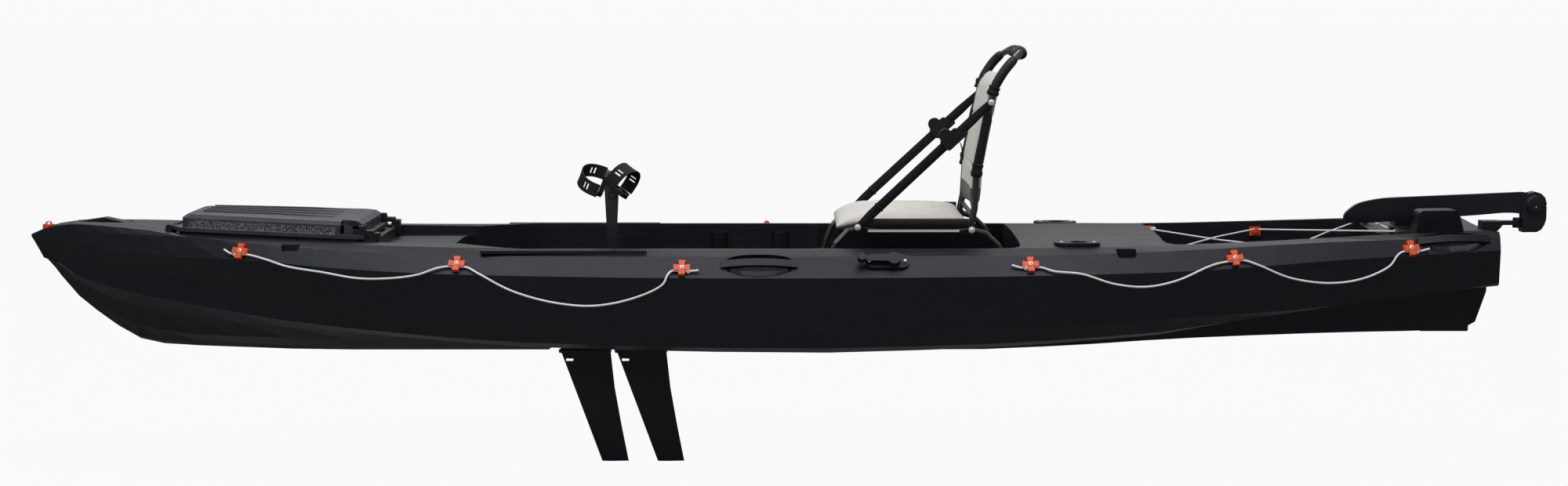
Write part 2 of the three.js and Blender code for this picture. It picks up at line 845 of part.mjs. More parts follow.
function hatchCatches() {
  const front = latchPivot().x + latch_reach + running_gap;
  return bothSides((side) => placed(block(
    front, front + catch_length,
    side * latch_offset - latch_width / 2, side * latch_offset + latch_width / 2,
    lid_underside - catch_depth, latchPivot().z,
  ), hatch_frame));
}

// Where a latch turns on the lid: at its front end, in the middle of its thickness
function latchPivot() {
  return {
    x: lid_front + lid_length + latch_overhang - latch_reach,
    z: lid_underside + lid_flange + running_gap + latch_thickness / 2,
  };
}

// The lid: flange, wall, crown with lengthwise ribs, hollow below
function hatchLid() {
  const back = lid_front + lid_length;
  const flange = slab(hatchPlan(0), lid_underside, lid_underside + lid_flange);
  const wall_top = lid_underside + lid_flange + lid_wall_height;
  const wall = slab(hatchPlan(lid_wall_inset), lid_underside, wall_top);
  const crowned = loft([0, 0.5, 1].map((share) => {
    const inset = mix(lid_wall_inset, lid_wall_inset + lid_rib_inset, share ** 2);
    const z = wall_top + lid_crown * Math.sin((share * Math.PI) / 2);
    return hatchPlan(inset).getPoints(3).slice(0, -1).map(({ x, y }) => new THREE.Vector3(x, y, z));
  }));
  const ribs = [];
  for (let i = 0; i < lid_rib_count; i += 1) {
    const lane = (2 * i + 1 - lid_rib_count) / lid_rib_count;
    const [y0, y1] = [lane * (lid_front_half - lid_rib_inset), lane * (lid_back_half - lid_rib_inset)];
    const z = wall_top + lid_crown - lid_rib_radius / 3;
    const bend = [[0, 0], [0.5, 0], [0.8, 0.1], [0.93, 0.45], [1, 1]];
    ribs.push(tube(bend.map(([share, fall]) => [
      mix(lid_front + lid_rib_inset + lid_rib_radius, back - lid_wall_inset, share),
      mix(y0, y1, share),
      z - fall * (lid_crown + lid_wall_height / 3),
    ]), lid_rib_radius, 5, 5));
  }
  const hollow = slab(hatchPlan(bucket_inset + lid_shell), lid_underside - cut_overrun,
    wall_top - lid_shell);
  const arms = bothSides((side) => {
    const y = side * hinge_offset;
    const ring = rod([0, y - hinge_knuckle_width / 2, 0], [0, y + hinge_knuckle_width / 2, 0],
      hinge_knuckle_radius, 10);
    const arm = block(0, lid_front + lid_wall_inset, y - hinge_knuckle_width / 2,
      y + hinge_knuckle_width / 2, lid_underside, lid_underside + lid_flange);
    return ring.add(arm);
  });
  const bore = rod([0, -lid_back_half, 0], [0, lid_back_half, 0], hinge_pin_radius + running_gap, 16);
  const pockets = bothSides((side) => block(
    latchPivot().x - latch_thickness - latch_knob_height, back + cut_overrun,
    side * latch_offset - latch_width / 2 - running_gap,
    side * latch_offset + latch_width / 2 + running_gap,
    lid_underside + lid_flange, wall_top + lid_crown + lid_rib_radius + cut_overrun,
  ));
  const body = joined(flange, wall, crowned, ...ribs).subtract(hollow);
  return placed(largest(cutBy(joined(body, ...arms), bore, ...pockets)), hatch_frame);
}

// The fixed half of the hinge: a pin between ears that stand on the deck
function hatchHinge() {
  const reach = hinge_offset + hinge_knuckle_width / 2 + running_gap + hinge_ear_width;
  const pin = rod([0, -reach, 0], [0, reach, 0], hinge_pin_radius, 8);
  const ears = [];
  for (const side of [-1, 1]) {
    for (const edge of [-1, 1]) {
      const gap = hinge_knuckle_width / 2 + running_gap + hinge_ear_width / 2;
      const y = side * hinge_offset + edge * gap;
      ears.push(rod([0, y - hinge_ear_width / 2, 0], [0, y + hinge_ear_width / 2, 0],
        hinge_knuckle_radius, 8));
      ears.push(block(-hinge_knuckle_radius, hinge_knuckle_radius, y - hinge_ear_width / 2,
        y + hinge_ear_width / 2, lid_underside - cut_overrun, 0));
    }
  }
  return placed(joined(pin, ...ears), hatch_frame);
}

// Latch lever on the lid's aft corner, in the hatch frame. Its nose is an arc about its pivot,
// so that it passes the catch as it lifts, and a knob stands on it
function latch(side) {
  const { x, z } = latchPivot();
  const half = latch_thickness / 2;
  const y = side * latch_offset;
  const low = Math.asin((half + lid_flange) / latch_reach);
  const high = Math.asin(half / latch_reach);
  const arc = [-1, -0.5, 0, 1].map((share) => {
    const turn = share < 0 ? share * low : share * high;
    return [x + latch_reach * Math.cos(turn), z + latch_reach * Math.sin(turn)];
  });
  const inner = x + (latch_reach - half) * Math.cos(low);
  const outline = rounded([
    [x, z - half], [inner, z - half], [inner, z - half - lid_flange], ...arc, [x, z + half],
  ], 0);
  const lever = sideways(outline, y - latch_width / 2, y + latch_width / 2);
  const barrel = rod([x, y - latch_width / 2, z], [x, y + latch_width / 2, z], half, 10);
  const knob_x = x + latch_reach / 2;
  const knob = rod([knob_x, y, z], [knob_x, y, z + half + latch_knob_height],
    latch_knob_radius, 12, latch_knob_radius * 0.8);
  return placed(joined(lever, barrel, knob), hatch_frame);
}

// A point and its frame on the band of the hull's side, between chine and break
function bandFrame(x, share, side) {
  const at = (px, s) => new THREE.Vector3(
    px,
    side * mix(breadth(px), breadth(px) * break_share, s),
    mix(chineHeight(px), breakHeight(px), s),
  );
  const step = half_length / station_shares.length;
  const along = at(x + step, share).sub(at(x - step, share)).normalize();
  const rise = at(x, 1).sub(at(x, 0)).normalize();
  const out = along.clone().cross(rise).normalize();
  if (out.y * side < 0) out.negate();
  const across = out.clone().cross(along).normalize();
  return new THREE.Matrix4().makeBasis(along, across, out).setPosition(at(x, share));
}

// Trims a fitting to the body it lies on, leaving the running gap all round
function bedded(piece, body) {
  const { min, max } = piece.boundingBox();
  const m = 2 * running_gap;
  const near = body.intersect(block(min[0] - m, max[0] + m, min[1] - m, max[1] + m, min[2] - m, max[2] + m));
  const shifts = [0, 1, 2].flatMap((axis) => [-1, 1].map((way) => (
    [0, 1, 2].map((k) => (k === axis ? way * running_gap : 0)))));
  return largest(cutBy(piece, ...shifts.map((shift) => near.translate(shift))));
}

const handle_places = [['', handle_x], ['stern_', stern_handle_x]];
const handle_band_shares = { '': 0.62, stern_: 0.85 };

function handlePocket(x, share, side) {
  const frame = bandFrame(x, share, side);
  const bowl = ball([0, 0, 0], handle_pocket_half_length, handle_pocket_half_height, handle_pocket_depth);
  return placed(bowl, frame);
}

// A bar arched over its pocket, with a foot at each end let into the hull's side
function carryHandle(x, share, side) {
  const frame = bandFrame(x, share, side);
  const half = handle_length / 2;
  const bar = [];
  for (let i = 0; i <= 6; i += 1) {
    const t = i / 3 - 1;
    const u = t * half;
    const lift = handle_arch * (1 - t * t);
    bar.push([u, lift]);
  }
  const top = bar.map(([u, v]) => [u, v + handle_thickness / 2]);
  const under = bar.slice(1, -1).reverse().map(([u, v]) => [u, v - handle_thickness / 2]);
  const feet = [[half, -handle_foot], [half - handle_foot, -handle_foot]];
  const others = [[handle_foot - half, -handle_foot], [-half, -handle_foot]];
  const outline = rounded([...top, ...feet, ...under, ...others], 0);
  const made = sideways(outline, -handle_width / 2, handle_width / 2);
  return placed(made, frame);
}

function bowPocket() {
  const mid = (bow_handle_front + bow_handle_back) / 2;
  const half = (bow_handle_back - bow_handle_front) / 2 - bow_pocket_margin;
  return ball([mid, 0, bow_handle_top - bow_handle_thickness], half, bow_pocket_half,
    bow_pocket_depth, 12);
}

function bowHandle(body) {
  const mid = (bow_handle_front + bow_handle_back) / 2;
  const low = deckHeight(mid) - 2 * bow_handle_thickness;
  const crest = bow_handle_top - bow_handle_thickness;
  const outline = rounded([
    [bow_handle_front, low],
    [bow_handle_front, crest - bow_handle_thickness / 3],
    [mid, bow_handle_top],
    [bow_handle_back, crest - bow_handle_thickness],
    [bow_handle_back, low],
    [bow_handle_back - bow_pocket_margin, low],
    [bow_handle_back - bow_pocket_margin, crest - bow_handle_thickness],
    [mid, crest],
    [bow_handle_front + bow_pocket_margin, crest - bow_handle_thickness],
    [bow_handle_front + bow_pocket_margin, low],
  ], bow_handle_thickness / 2);
  const made = sideways(outline, -bow_handle_half_width, bow_handle_half_width);
  return bedded(made, body);
}

function padeye(body) {
  const z = deckHeight(padeye_x);
  const plate = slab(rounded([
    [padeye_x - padeye_length / 2, -padeye_width / 2],
    [padeye_x + padeye_length / 2, -padeye_width / 2],
    [padeye_x + padeye_length / 2, padeye_width / 2],
    [padeye_x - padeye_length / 2, padeye_width / 2],
  ], padeye_width / 3), z - padeye_height, z + padeye_height / 3);
  const eye = rod([padeye_x, -padeye_eye_radius / 2, z + padeye_height / 3],
    [padeye_x, padeye_eye_radius / 2, z + padeye_height / 3], 2 * padeye_eye_radius, 12);
  const hole = rod([padeye_x, -padeye_width, z + padeye_height / 2],
    [padeye_x, padeye_width, z + padeye_height / 2], padeye_eye_radius, 10);
  return bedded(plate.add(eye).subtract(hole), body);
}

function trackPocket(side) {
  const y = side * track_offset;
  const [y0, y1] = [y - track_width / 2 - running_gap, y + track_width / 2 + running_gap];
  return block(track_front - running_gap, track_back + running_gap, y0, y1,
    track_seat_height, gunwale_height + cut_overrun);
}

// A T-slot rail let into the gunwale
function gearTrack(side) {
  const y = side * track_offset;
  const z = track_seat_height + running_gap;
  const bar = block(track_front, track_back, y - track_width / 2, y + track_width / 2, z, z + track_height);
  const slot = block(track_front - cut_overrun, track_back + cut_overrun,
    y - track_slot / 2, y + track_slot / 2, z + track_lip, z + cut_overrun);
  const undercut = block(track_front - cut_overrun, track_back + cut_overrun,
    y - track_slot, y + track_slot, z + track_lip, z + track_height - track_lip);
  return cutBy(bar, slot, undercut);
}

const rod_lean = THREE.MathUtils.degToRad(rod_lean_degrees);

function rodTubeEnd(side, length) {
  const drop = length * Math.cos(rod_lean);
  return [rod_x - length * Math.sin(rod_lean), side * rod_offset, rod_seat_height - drop];
}

function rodCut(side) {
  const y = side * rod_offset;
  const top = rodTubeEnd(side, -cut_overrun);
  const pot = rod(top, rodTubeEnd(side, rod_tube_length + running_gap), rod_tube_radius + running_gap, 16);
  const half = rod_flange_length / 2 + running_gap;
  const wide = rod_flange_width / 2 + running_gap;
  const seat = slab(rounded([
    [rod_x - half, y - wide], [rod_x + half, y - wide],
    [rod_x + half, y + wide], [rod_x - half, y + wide],
  ], rod_flange_width / 2), rod_seat_height, rod_seat_height + cut_overrun);
  return pot.add(seat);
}

// Flush rod holder: an oval flange on the deck and a leaning tube below it
function rodHolder(side) {
  const y = side * rod_offset;
  const half = rod_flange_length / 2;
  const wide = rod_flange_width / 2;
  const z = rod_seat_height + running_gap;
  const flange = slab(rounded([
    [rod_x - half, y - wide], [rod_x + half, y - wide],
    [rod_x + half, y + wide], [rod_x - half, y + wide],
  ], wide), z, z + rod_flange_thickness);
  const top = [rod_x + rod_tube_radius * Math.sin(rod_lean), y, z + rod_tube_radius * Math.cos(rod_lean)];
  const pipe = rod(top, rodTubeEnd(side, rod_tube_length), rod_tube_radius, 16)
    .subtract(block(rod_x - hull_beam, rod_x + hull_beam, y - hull_beam, y + hull_beam,
      z + rod_flange_thickness, z + hull_beam));
  const high = [rod_x + hull_beam / 8 * Math.sin(rod_lean), y, z + hull_beam / 8 * Math.cos(rod_lean)];
  const bore = rod(high, rodTubeEnd(side, rod_tube_length - rod_flange_thickness), rod_bore_radius, 16);
  return flange.add(pipe).subtract(bore);
}

// Places of the line guides along the band, front to stern, and on it from chine to break
const guide_x_shares = [-0.6815, -0.387, -0.0914, 0.3636, 0.635, 0.8757];
const guide_band_shares = [0.45, 0.5, 0.42, 0.5, 0.45, 0.4];

function lineGuide(index, side, body) {
  const frame = bandFrame(guide_x_shares[index] * half_length, guide_band_shares[index], side);
  const arms = [];
  for (let i = 0; i < 4; i += 1) {
    const turn = (i * Math.PI) / 2;
    const [c, s] = [Math.cos(turn), Math.sin(turn)];
    const flare = guide_arm * guide_flare_share;
    arms.push([guide_arm * c + flare * s, guide_arm * s - flare * c]);
    arms.push([guide_arm * c - flare * s, guide_arm * s + flare * c]);
    arms.push([guide_waist * (c - s), guide_waist * (s + c)]);
  }
  const crown = slab(rounded(arms, 0), -guide_thickness, guide_thickness);
  const way_radius = line_radius + line_clearance;
  const way_y = side * guide_way_drop;
  const way = rod([-2 * guide_arm, way_y, line_height], [2 * guide_arm, way_y, line_height],
    way_radius, 10);
  const below = block(-2 * guide_arm, 2 * guide_arm, way_y - way_radius, way_y + way_radius,
    -guide_thickness, line_height);
  return bedded(placed(cutBy(crown, way, below), frame), body);
}

// Routes of the perimeter lines, port side, from tail to tail through the guides and the swags,
// as shares of the half length, the half beam and the gunwale's height
const front_line_shares = [
  [-0.7037, -0.6023, 0.9675], [-0.6951, -0.6196, 0.9387], [-0.6826, -0.6359, 0.9358],
  [-0.6701, -0.6522, 0.9328], [-0.6440, -0.7023, 0.8994], [-0.6157, -0.7442, 0.8491],
  [-0.5671, -0.7953, 0.8077], [-0.5185, -0.8372, 0.7633], [-0.4769, -0.8744, 0.7692],
  [-0.4375, -0.8977, 0.8047], [-0.4130, -0.8884, 0.8580], [-0.4003, -0.8807, 0.8701],
  [-0.3873, -0.8854, 0.8672], [-0.3744, -0.8924, 0.8672], [-0.3551, -0.9395, 0.8136],
  [-0.3148, -0.9651, 0.6834], [-0.2593, -0.9860, 0.5858], [-0.2037, -1.0047, 0.5621],
  [-0.1481, -1.0116, 0.6391], [-0.1157, -1.0209, 0.7456], [-0.1097, -1.0000, 0.8195],
  [-0.1042, -0.9760, 0.8492], [-0.0912, -0.9760, 0.8492], [-0.0782, -0.9760, 0.8492],
  [-0.0713, -0.9791, 0.8550],
];
const rear_line_shares = [
  [0.3407, -0.9279, 0.8876], [0.3511, -0.9317, 0.8698], [0.3641, -0.9271, 0.8698],
  [0.3771, -0.9224, 0.8698], [0.3944, -0.9395, 0.8402], [0.4306, -0.9372, 0.8166],
  [0.4722, -0.9326, 0.7337], [0.5139, -0.9140, 0.7041], [0.5556, -0.8907, 0.7515],
  [0.6028, -0.8442, 0.8728], [0.6226, -0.8139, 0.8981], [0.6356, -0.8069, 0.9040],
  [0.6485, -0.8000, 0.9070], [0.6667, -0.8116, 0.8698], [0.7083, -0.7930, 0.7604],
  [0.7639, -0.7512, 0.7071], [0.8102, -0.7140, 0.7426], [0.8454, -0.6930, 0.8462],
  [0.8551, -0.6767, 0.9260], [0.8634, -0.6510, 0.9572], [0.8763, -0.6394, 0.9601],
  [0.8893, -0.6301, 0.9631], [0.8995, -0.6279, 0.9793],
];

// A line tied at both ends with a stopper knot
function perimeterLine(route, side) {
  const points = route.map(([x, y, z]) => [x * half_length, -side * y * half_beam, z * gunwale_height]);
  const path = new THREE.CatmullRomCurve3(points.map((p) => new THREE.Vector3(...p)));
  const rings = path.getPoints(2 * (points.length - 1)).map((p) => p.toArray());
  const line = lacing(rings, line_radius, 8);
  const ends = [points[0], points[points.length - 1]];
  const knots = ends.map((p) => ball(p, knot_radius, knot_radius, knot_radius, 6));
  return joined(line, ...knots);
}

// Places where the bungee turns, port side: front and middle pegs and the post on the deck
function bungeeTurns() {
  const peg = (x) => [x, tankWall(x, -1) + hook_peg_reach, hook_height];
  return [peg(hook_front_x), peg(hook_mid_x), [post_x, -post_half_gap, postHeight() + post_height / 2]];
}

function postHeight() {
  return mix(deckHeight(post_x), gunwaleHeight(post_x), post_half_gap / (breadth(post_x) * gunwale_share));
}

function bungeePosts() {
  const z = postHeight();
  return bothSides((side) => {
    const y = side * post_half_gap;
    const stem = rod([post_x, y, z - post_height], [post_x, y, z + post_height], post_radius, 8);
    const cap = rod([post_x, y, z + post_height], [post_x, y, z + post_height * 1.4], post_radius * 1.6, 8);
    return stem.add(cap);
  });
}

// One elastic cord laced from peg to peg, straight between the turns it takes round them
function bungeeCord() {
  const [front, middle, rear] = bungeeTurns();
  const peg_turn = hook_peg_radius + bungee_radius + line_clearance;
  const post_turn = post_radius + bungee_radius + line_clearance;
  const arc = ([x, y, z], turn, from, to, side) => {
    const points = [];
    for (let i = 0; i <= 4; i += 1) {
      const angle = THREE.MathUtils.degToRad(mix(from, to, i / 4));
      points.push([x + turn * Math.cos(angle), side * (-y + turn * Math.sin(angle)), z]);
    }
    return points;
  };
  const half = (side, lift) => {
    const crossing = (a, b) => [(a[0] + b[0]) / 2, 0, (a[2] + b[2]) / 2 + lift];
    const [x, y, z] = front;
    return [
      [[x + 2 * peg_turn, side * -y, z]],
      arc(front, peg_turn, 20, 220, side),
      [crossing(front, middle)],
      arc(middle, peg_turn, 130, 50, -side),
      [crossing(middle, rear)],
      arc(rear, post_turn, 140, 0, side),
    ];
  };
  const lift = bungee_radius + line_clearance;
  const route = [...half(1, -lift), ...half(-1, lift).map((run) => [...run].reverse()).reverse()].flat();
  const knots = [route[0], route[route.length - 1]].map((p) => (
    ball(p, 2 * bungee_radius, 2 * bungee_radius, 2 * bungee_radius, 8)));
  return joined(lacing(route, bungee_radius, 8), ...knots);
}

// The inner wall of the tank well at x, on one side
function tankWall(x, side) {
  return side * mix(tank_front_half, tank_back_half, (x - tank_front) / (tank_back - tank_front));
}

// Orange peg on a plate against the tank well's wall, for the bungee to turn round
function bungeeHook(x, side) {
  const wall = tankWall(x, side) - side * running_gap * 2;
  const inner = wall - side * hook_plate_thickness;
  const [y0, y1] = [wall, inner].sort((a, b) => a - b);
  const plate = block(x - hook_plate_length / 2, x + hook_plate_length / 2, y0, y1,
    hook_height - hook_plate_height, hook_height + hook_plate_height / 3);
  const tip = wall - side * hook_peg_reach;
  const z = hook_height - hook_plate_height / 2;
  const arm = rod([x, inner, z], [x, tip, z], hook_peg_radius, 10);
  const peg = rod([x, tip, z], [x, tip, hook_height + hook_plate_height / 3], hook_peg_radius, 10);
  return joined(plate, arm, peg);
}

// Steering lever: a base screwed to the band, a hub on it, and the arm that turns
const lever_band_share = 0.72;

function leverFrame() {
  return bandFrame(lever_pivot_x, lever_band_share, -1);
}

function leverBase(body) {
  const half = lever_base_length / 2;
  const wide = lever_base_width / 2;
  const foot = slab(rounded([
    [-half - lever_hub_radius, -wide], [half - lever_hub_radius, -wide],
    [half - lever_hub_radius, wide], [-half - lever_hub_radius, wide],
  ], wide), -lever_base_thickness, lever_base_thickness);
  const hub = rod([0, 0, 0], [0, 0, lever_base_thickness + lever_hub_height / 2], lever_hub_radius, 14);
  const frame = leverFrame();
  return bedded(placed(foot.add(hub), frame), body);
}

function steeringLever() {
  const z = lever_base_thickness + lever_hub_height / 2 + running_gap;
  const hub = rod([0, 0, z], [0, 0, z + lever_arm_thickness], lever_hub_radius, 14);
  const wide = lever_arm_width / 2;
  const arm = slab(rounded([
    [0, -wide], [-lever_arm_length, -wide * 0.7], [-lever_arm_length, wide * 0.7], [0, wide],
  ], wide / 2), z, z + lever_arm_thickness, 2);
  const knob = rod([lever_knob_radius - lever_arm_length, 0, z],
    [lever_knob_radius - lever_arm_length, 0, z + 2 * lever_arm_thickness], lever_knob_radius, 10);
  return placed(joined(hub, arm, knob), leverFrame());
}

// Bracket on the transom that carries the steering sleeve
function rudderBracket(body) {
  const [z0, z1] = [bracket_height - bracket_thickness / 2, bracket_height + bracket_thickness / 2];
  const arm = slab(rounded([
    [bracket_front, -bracket_half_width],
    [pintle_x - sleeve_radius, -sleeve_radius],
    [pintle_x - sleeve_radius / 2, -sleeve_radius],
    [pintle_x - sleeve_radius / 2, sleeve_radius],
    [pintle_x - sleeve_radius, sleeve_radius],
    [bracket_front, bracket_half_width],
  ], 0), z0 + ear_thickness, z1 - ear_thickness);
  const sleeve = rod([pintle_x, 0, z0 + ear_thickness], [pintle_x, 0, z1 - ear_thickness],
    sleeve_radius, 12);
  const stay = sideways(rounded([
    [bracket_front, z0 - bracket_thickness],
    [bracket_front, z1 - ear_thickness],
    [pintle_x - 4 * sleeve_radius, z1 - ear_thickness],
    [pintle_x - 4 * sleeve_radius, z0 + ear_thickness],
    [bracket_front + bracket_half_width, z0 - bracket_thickness],
  ], ear_thickness / 2), -bracket_half_width, bracket_half_width, 1);
  const bore = rod([pintle_x, 0, z0 - cut_overrun], [pintle_x, 0, z1 + cut_overrun],
    pintle_radius + running_gap, 12);
  const made = joined(arm, sleeve, stay).subtract(bore);
  return bedded(made, body);
}

// Head of the rudder: pintle, ears round the sleeve, stem and two cheeks for the blade
function rudderHead() {
  const [z0, z1] = [bracket_height - bracket_thickness / 2, bracket_height + bracket_thickness / 2];
  const pin = rod([pintle_x, 0, z0], [pintle_x, 0, z1], pintle_radius, 12);
  const stem_front = pintle_x + sleeve_radius + 2 * running_gap;
  const stem = block(stem_front, stem_front + rudder_stem_half_width,
    -rudder_stem_half_width, rudder_stem_half_width, rudder_bottom, z1 - running_gap);
  const ears = [[z0 + running_gap, z0 + ear_thickness - running_gap],
    [z1 - ear_thickness + running_gap, z1 - running_gap]].map(([low, high]) => slab(rounded([
    [pintle_x - sleeve_radius, -sleeve_radius], [stem_front + running_gap, -rudder_stem_half_width],
    [stem_front + running_gap, rudder_stem_half_width], [pintle_x - sleeve_radius, sleeve_radius],
  ], sleeve_radius), low, high, 1));
  const inner = blade_thickness / 2 + running_gap;
  const cheeks = bothSides((side) => {
    const ys = [side * inner, side * (inner + rudder_cheek_thickness)].sort((a, b) => a - b);
    const disc = rod([rudder_pivot_x, ys[0], rudder_pivot_height],
      [rudder_pivot_x, ys[1], rudder_pivot_height], rudder_cheek_radius, 12);
    const leg = sideways(rounded([
      [stem_front, rudder_bottom],
      [stem_front, z1 - running_gap],
      [rudder_pivot_x - rudder_cheek_radius, rudder_pivot_height],
      [rudder_pivot_x + rudder_cheek_radius, rudder_pivot_height],
      [rudder_pivot_x + rudder_cheek_radius, rudder_bottom + bracket_thickness],
      [rudder_pivot_x + rudder_cheek_radius / 2, rudder_bottom],
    ], rudder_cheek_thickness), ...ys, 1);
    return disc.add(leg);
  });
  const bore = rod([rudder_pivot_x, -hull_beam, rudder_pivot_height],
    [rudder_pivot_x, hull_beam, rudder_pivot_height], blade_bolt_radius + running_gap, 12);
  return largest(joined(stem, pin, ...ears, ...cheeks).subtract(bore));
}

// Blade with a blunt nose and a thin trailing edge, stowed forward over the deck
function rudderBlade() {
  const [px, pz] = [rudder_pivot_x, rudder_pivot_height];
  const root = rudder_cheek_radius - running_gap;
  const outline = rounded([
    [px, pz - root],
    [px - 2 * root, pz - root * 0.72],
    [px - 4 * root, pz - root * 0.92],
    [blade_tip_x + 4 * root, pz - 1.5 * root],
    [blade_tip_x + 1.3 * root, pz - 1.7 * root],
    [blade_tip_x, pz - 1.62 * root],
    [blade_tip_x, pz - root * 0.9],
    [blade_tip_x + root, pz],
    [blade_tip_x + 3 * root, pz + root * 0.45],
    [px, pz + root],
  ], root);
  const half = blade_thickness / 2;
  const plate = sideways(outline, -half, half, 3);
  const eye = rod([px, -half, pz], [px, half, pz], root, 12);
  const bolt_reach = half + 2 * running_gap + rudder_cheek_thickness;
  const bolt = rod([px, -bolt_reach, pz], [px, bolt_reach, pz], blade_bolt_radius, 8);
  const heads = bothSides((side) => rod([px, side * bolt_reach, pz],
    [px, side * (bolt_reach + blade_bolt_radius), pz], 2 * blade_bolt_radius, 8));
  const bevels = bothSides((side) => sideBevel(side, half, px, pz, root));
  return joined(cutBy(plate, ...bevels), eye, bolt, ...heads);
}

// Wedge that thins the blade towards its upper edge, which trails when it is down
function sideBevel(side, half, px, pz, root) {
  const wedge = new THREE.Shape();
  wedge.moveTo(side * half, pz - root);
  wedge.lineTo(side * half * 2, pz - root);
  wedge.lineTo(side * half * 2, pz - 3 * root);
  wedge.lineTo(side * half / 3, pz - 2 * root);
  wedge.closePath();
  const geometry = extruded(wedge, px - blade_tip_x, 1);
  geometry.applyMatrix4(new THREE.Matrix4().makeBasis(
    new THREE.Vector3(0, 1, 0), new THREE.Vector3(0, 0, 1), new THREE.Vector3(1, 0, 0)));
  geometry.translate(blade_tip_x - 2 * root, 0, 0);
  return solid(geometry);
}

// Skid plate let onto the skeg's heel
function skidPlate(body) {
  const wide = skeg_half_width + skid_thickness;
  const outline = rounded([
    [skid_front, skeg_heel_height - 2 * skid_thickness],
    [skid_back, skeg_heel_height - 2 * skid_thickness],
    [skid_back, skeg_heel_height + skid_rise],
    [skid_front, skeg_heel_height + skid_rise],
  ], skid_thickness);
  return bedded(sideways(outline, -wide, wide), body);
}

// Seat base: a bow of tube each side on a sled, with cross tubes
function seatBase() {
  const r = seat_tube_radius;
  const foot = seat_deck_height + r + running_gap;
  const front = seat_pad_front - r * 3;
  const back = seat_pivot_x + cockpit_floor - r;
  const sides = bothSides((side) => {
    const y = side * seat_half_width;
    const bow = tube([
      [front, y, foot], [front + r, y, foot + 4 * r],
      [seat_pad_front + 2 * r, y, seat_rail_height - 2 * r],
      [seat_front_bolt_x, y, seat_front_bolt_height],
      [seat_front_bolt_x + 6 * r, y, seat_rail_height],
      [(seat_front_bolt_x + seat_pivot_x) / 2, y, seat_rail_height],
      [seat_pivot_x - 6 * r, y, seat_rail_height],
      [seat_pivot_x, y, seat_pivot_height],
      [seat_pivot_x + 5 * r, y, seat_rail_height - r],
      [back - 3 * r, y, foot + 7 * r],
      [back, y, foot],
    ], r, 8, 14);
    const sled = rod([front - r, y, foot], [back + r, y, foot], r, 8);
    const bolt_out = side * (seat_half_width + r + strap_thickness);
    const bolt_in = side * (back_half_width + back_tube_radius + running_gap);
    const front_bolt = rod([seat_front_bolt_x, y, seat_front_bolt_height],
      [seat_front_bolt_x, side * (seat_half_width + r + strap_thickness - 2 * running_gap),
        seat_front_bolt_height],
      pivot_bolt_radius, 8);
    const pivot = rod([seat_pivot_x, side * back_half_width, seat_pivot_height],
      [seat_pivot_x, bolt_out, seat_pivot_height], pivot_bolt_radius, 8);
    return joined(bow, sled, pivot, front_bolt);
  });
  const crosses = [front, back].map((x) => (
    rod([x, -seat_half_width, foot], [x, seat_half_width, foot], r, 8)));
  const carrier = carrier_radius;
  const carrier_height = seat_pad_base - running_gap - carrier;
  const carriers = [seat_front_bolt_x + 8 * r, seat_pivot_x - 8 * r].map((x) => (
    rod([x, -seat_half_width, carrier_height], [x, seat_half_width, carrier_height], carrier, 8)));
  return joined(...sides, ...crosses, ...carriers);
}

// Centre line of the back's tube on one side, from the pivot up and over to the head bar
function backTubePoints() {
  const r = back_tube_radius;
  const y = back_half_width;
  return [
    [seat_pivot_x, y, seat_pivot_height + r],
    [seat_pivot_x + r, y, seat_pivot_height + 6 * r],
    [seat_pivot_x + 1.5 * r, y, seat_pivot_height + 16 * r],
    [seat_pivot_x + 3 * r, y, seat_pivot_height + 24.5 * r],
    [back_bolt_x, y, back_bolt_height],
    [back_bolt_x + r, y, back_bolt_height + 4 * r],
    [back_bolt_x + 3.5 * r, y, back_bolt_height + 8.5 * r],
    [back_bolt_x + 6 * r, y - r, back_bolt_height + 11.5 * r],
    [back_bolt_x + 8.5 * r, y - 4 * r, back_bolt_height + 13.5 * r],
    [back_bolt_x + 9 * r, y - 9 * r, back_bolt_height + 13.8 * r],
  ];
}

// How far aft the back's tube stands at height z
function backTubeX(z) {
  const points = backTubePoints();
  let i = 0;
  while (i < points.length - 2 && z > points[i + 1][2]) i += 1;
  const [low, high] = [points[i], points[i + 1]];
  return mix(low[0], high[0], (z - low[2]) / (high[2] - low[2]));
}

// Seat back: one tube bent into a hoop, with pivot eyes and bolts for the straps
function seatBackFrame() {
  const r = back_tube_radius;
  const y = back_half_width;
  const side = backTubePoints();
  const other = side.map(([px, py, pz]) => [px, -py, pz]).reverse();
  const hoop = tube([...side, ...other], r, 8, 28);
  const eyes = bothSides((s) => {
    const [y0, y1] = [s * (y - r), s * (y + r)].sort((a, b) => a - b);
    return rod([seat_pivot_x, y0, seat_pivot_height], [seat_pivot_x, y1, seat_pivot_height], 1.5 * r, 10);
  });
  const bores = bothSides((s) => rod([seat_pivot_x, s * (y - 3 * r), seat_pivot_height],
    [seat_pivot_x, s * (y + 3 * r), seat_pivot_height], pivot_bolt_radius + running_gap, 12));
  const lugs = bothSides((s) => rod([back_bolt_x, s * y, back_bolt_height],
    [back_bolt_x, s * (y + r + strap_thickness), back_bolt_height], pivot_bolt_radius, 8));
  const cross = rod([seat_pivot_x + r, -y, seat_pivot_height + 3 * r],
    [seat_pivot_x + r, y, seat_pivot_height + 3 * r], r * 0.7, 8);
  return cutBy(joined(hoop, cross, ...eyes, ...lugs), ...bores);
}

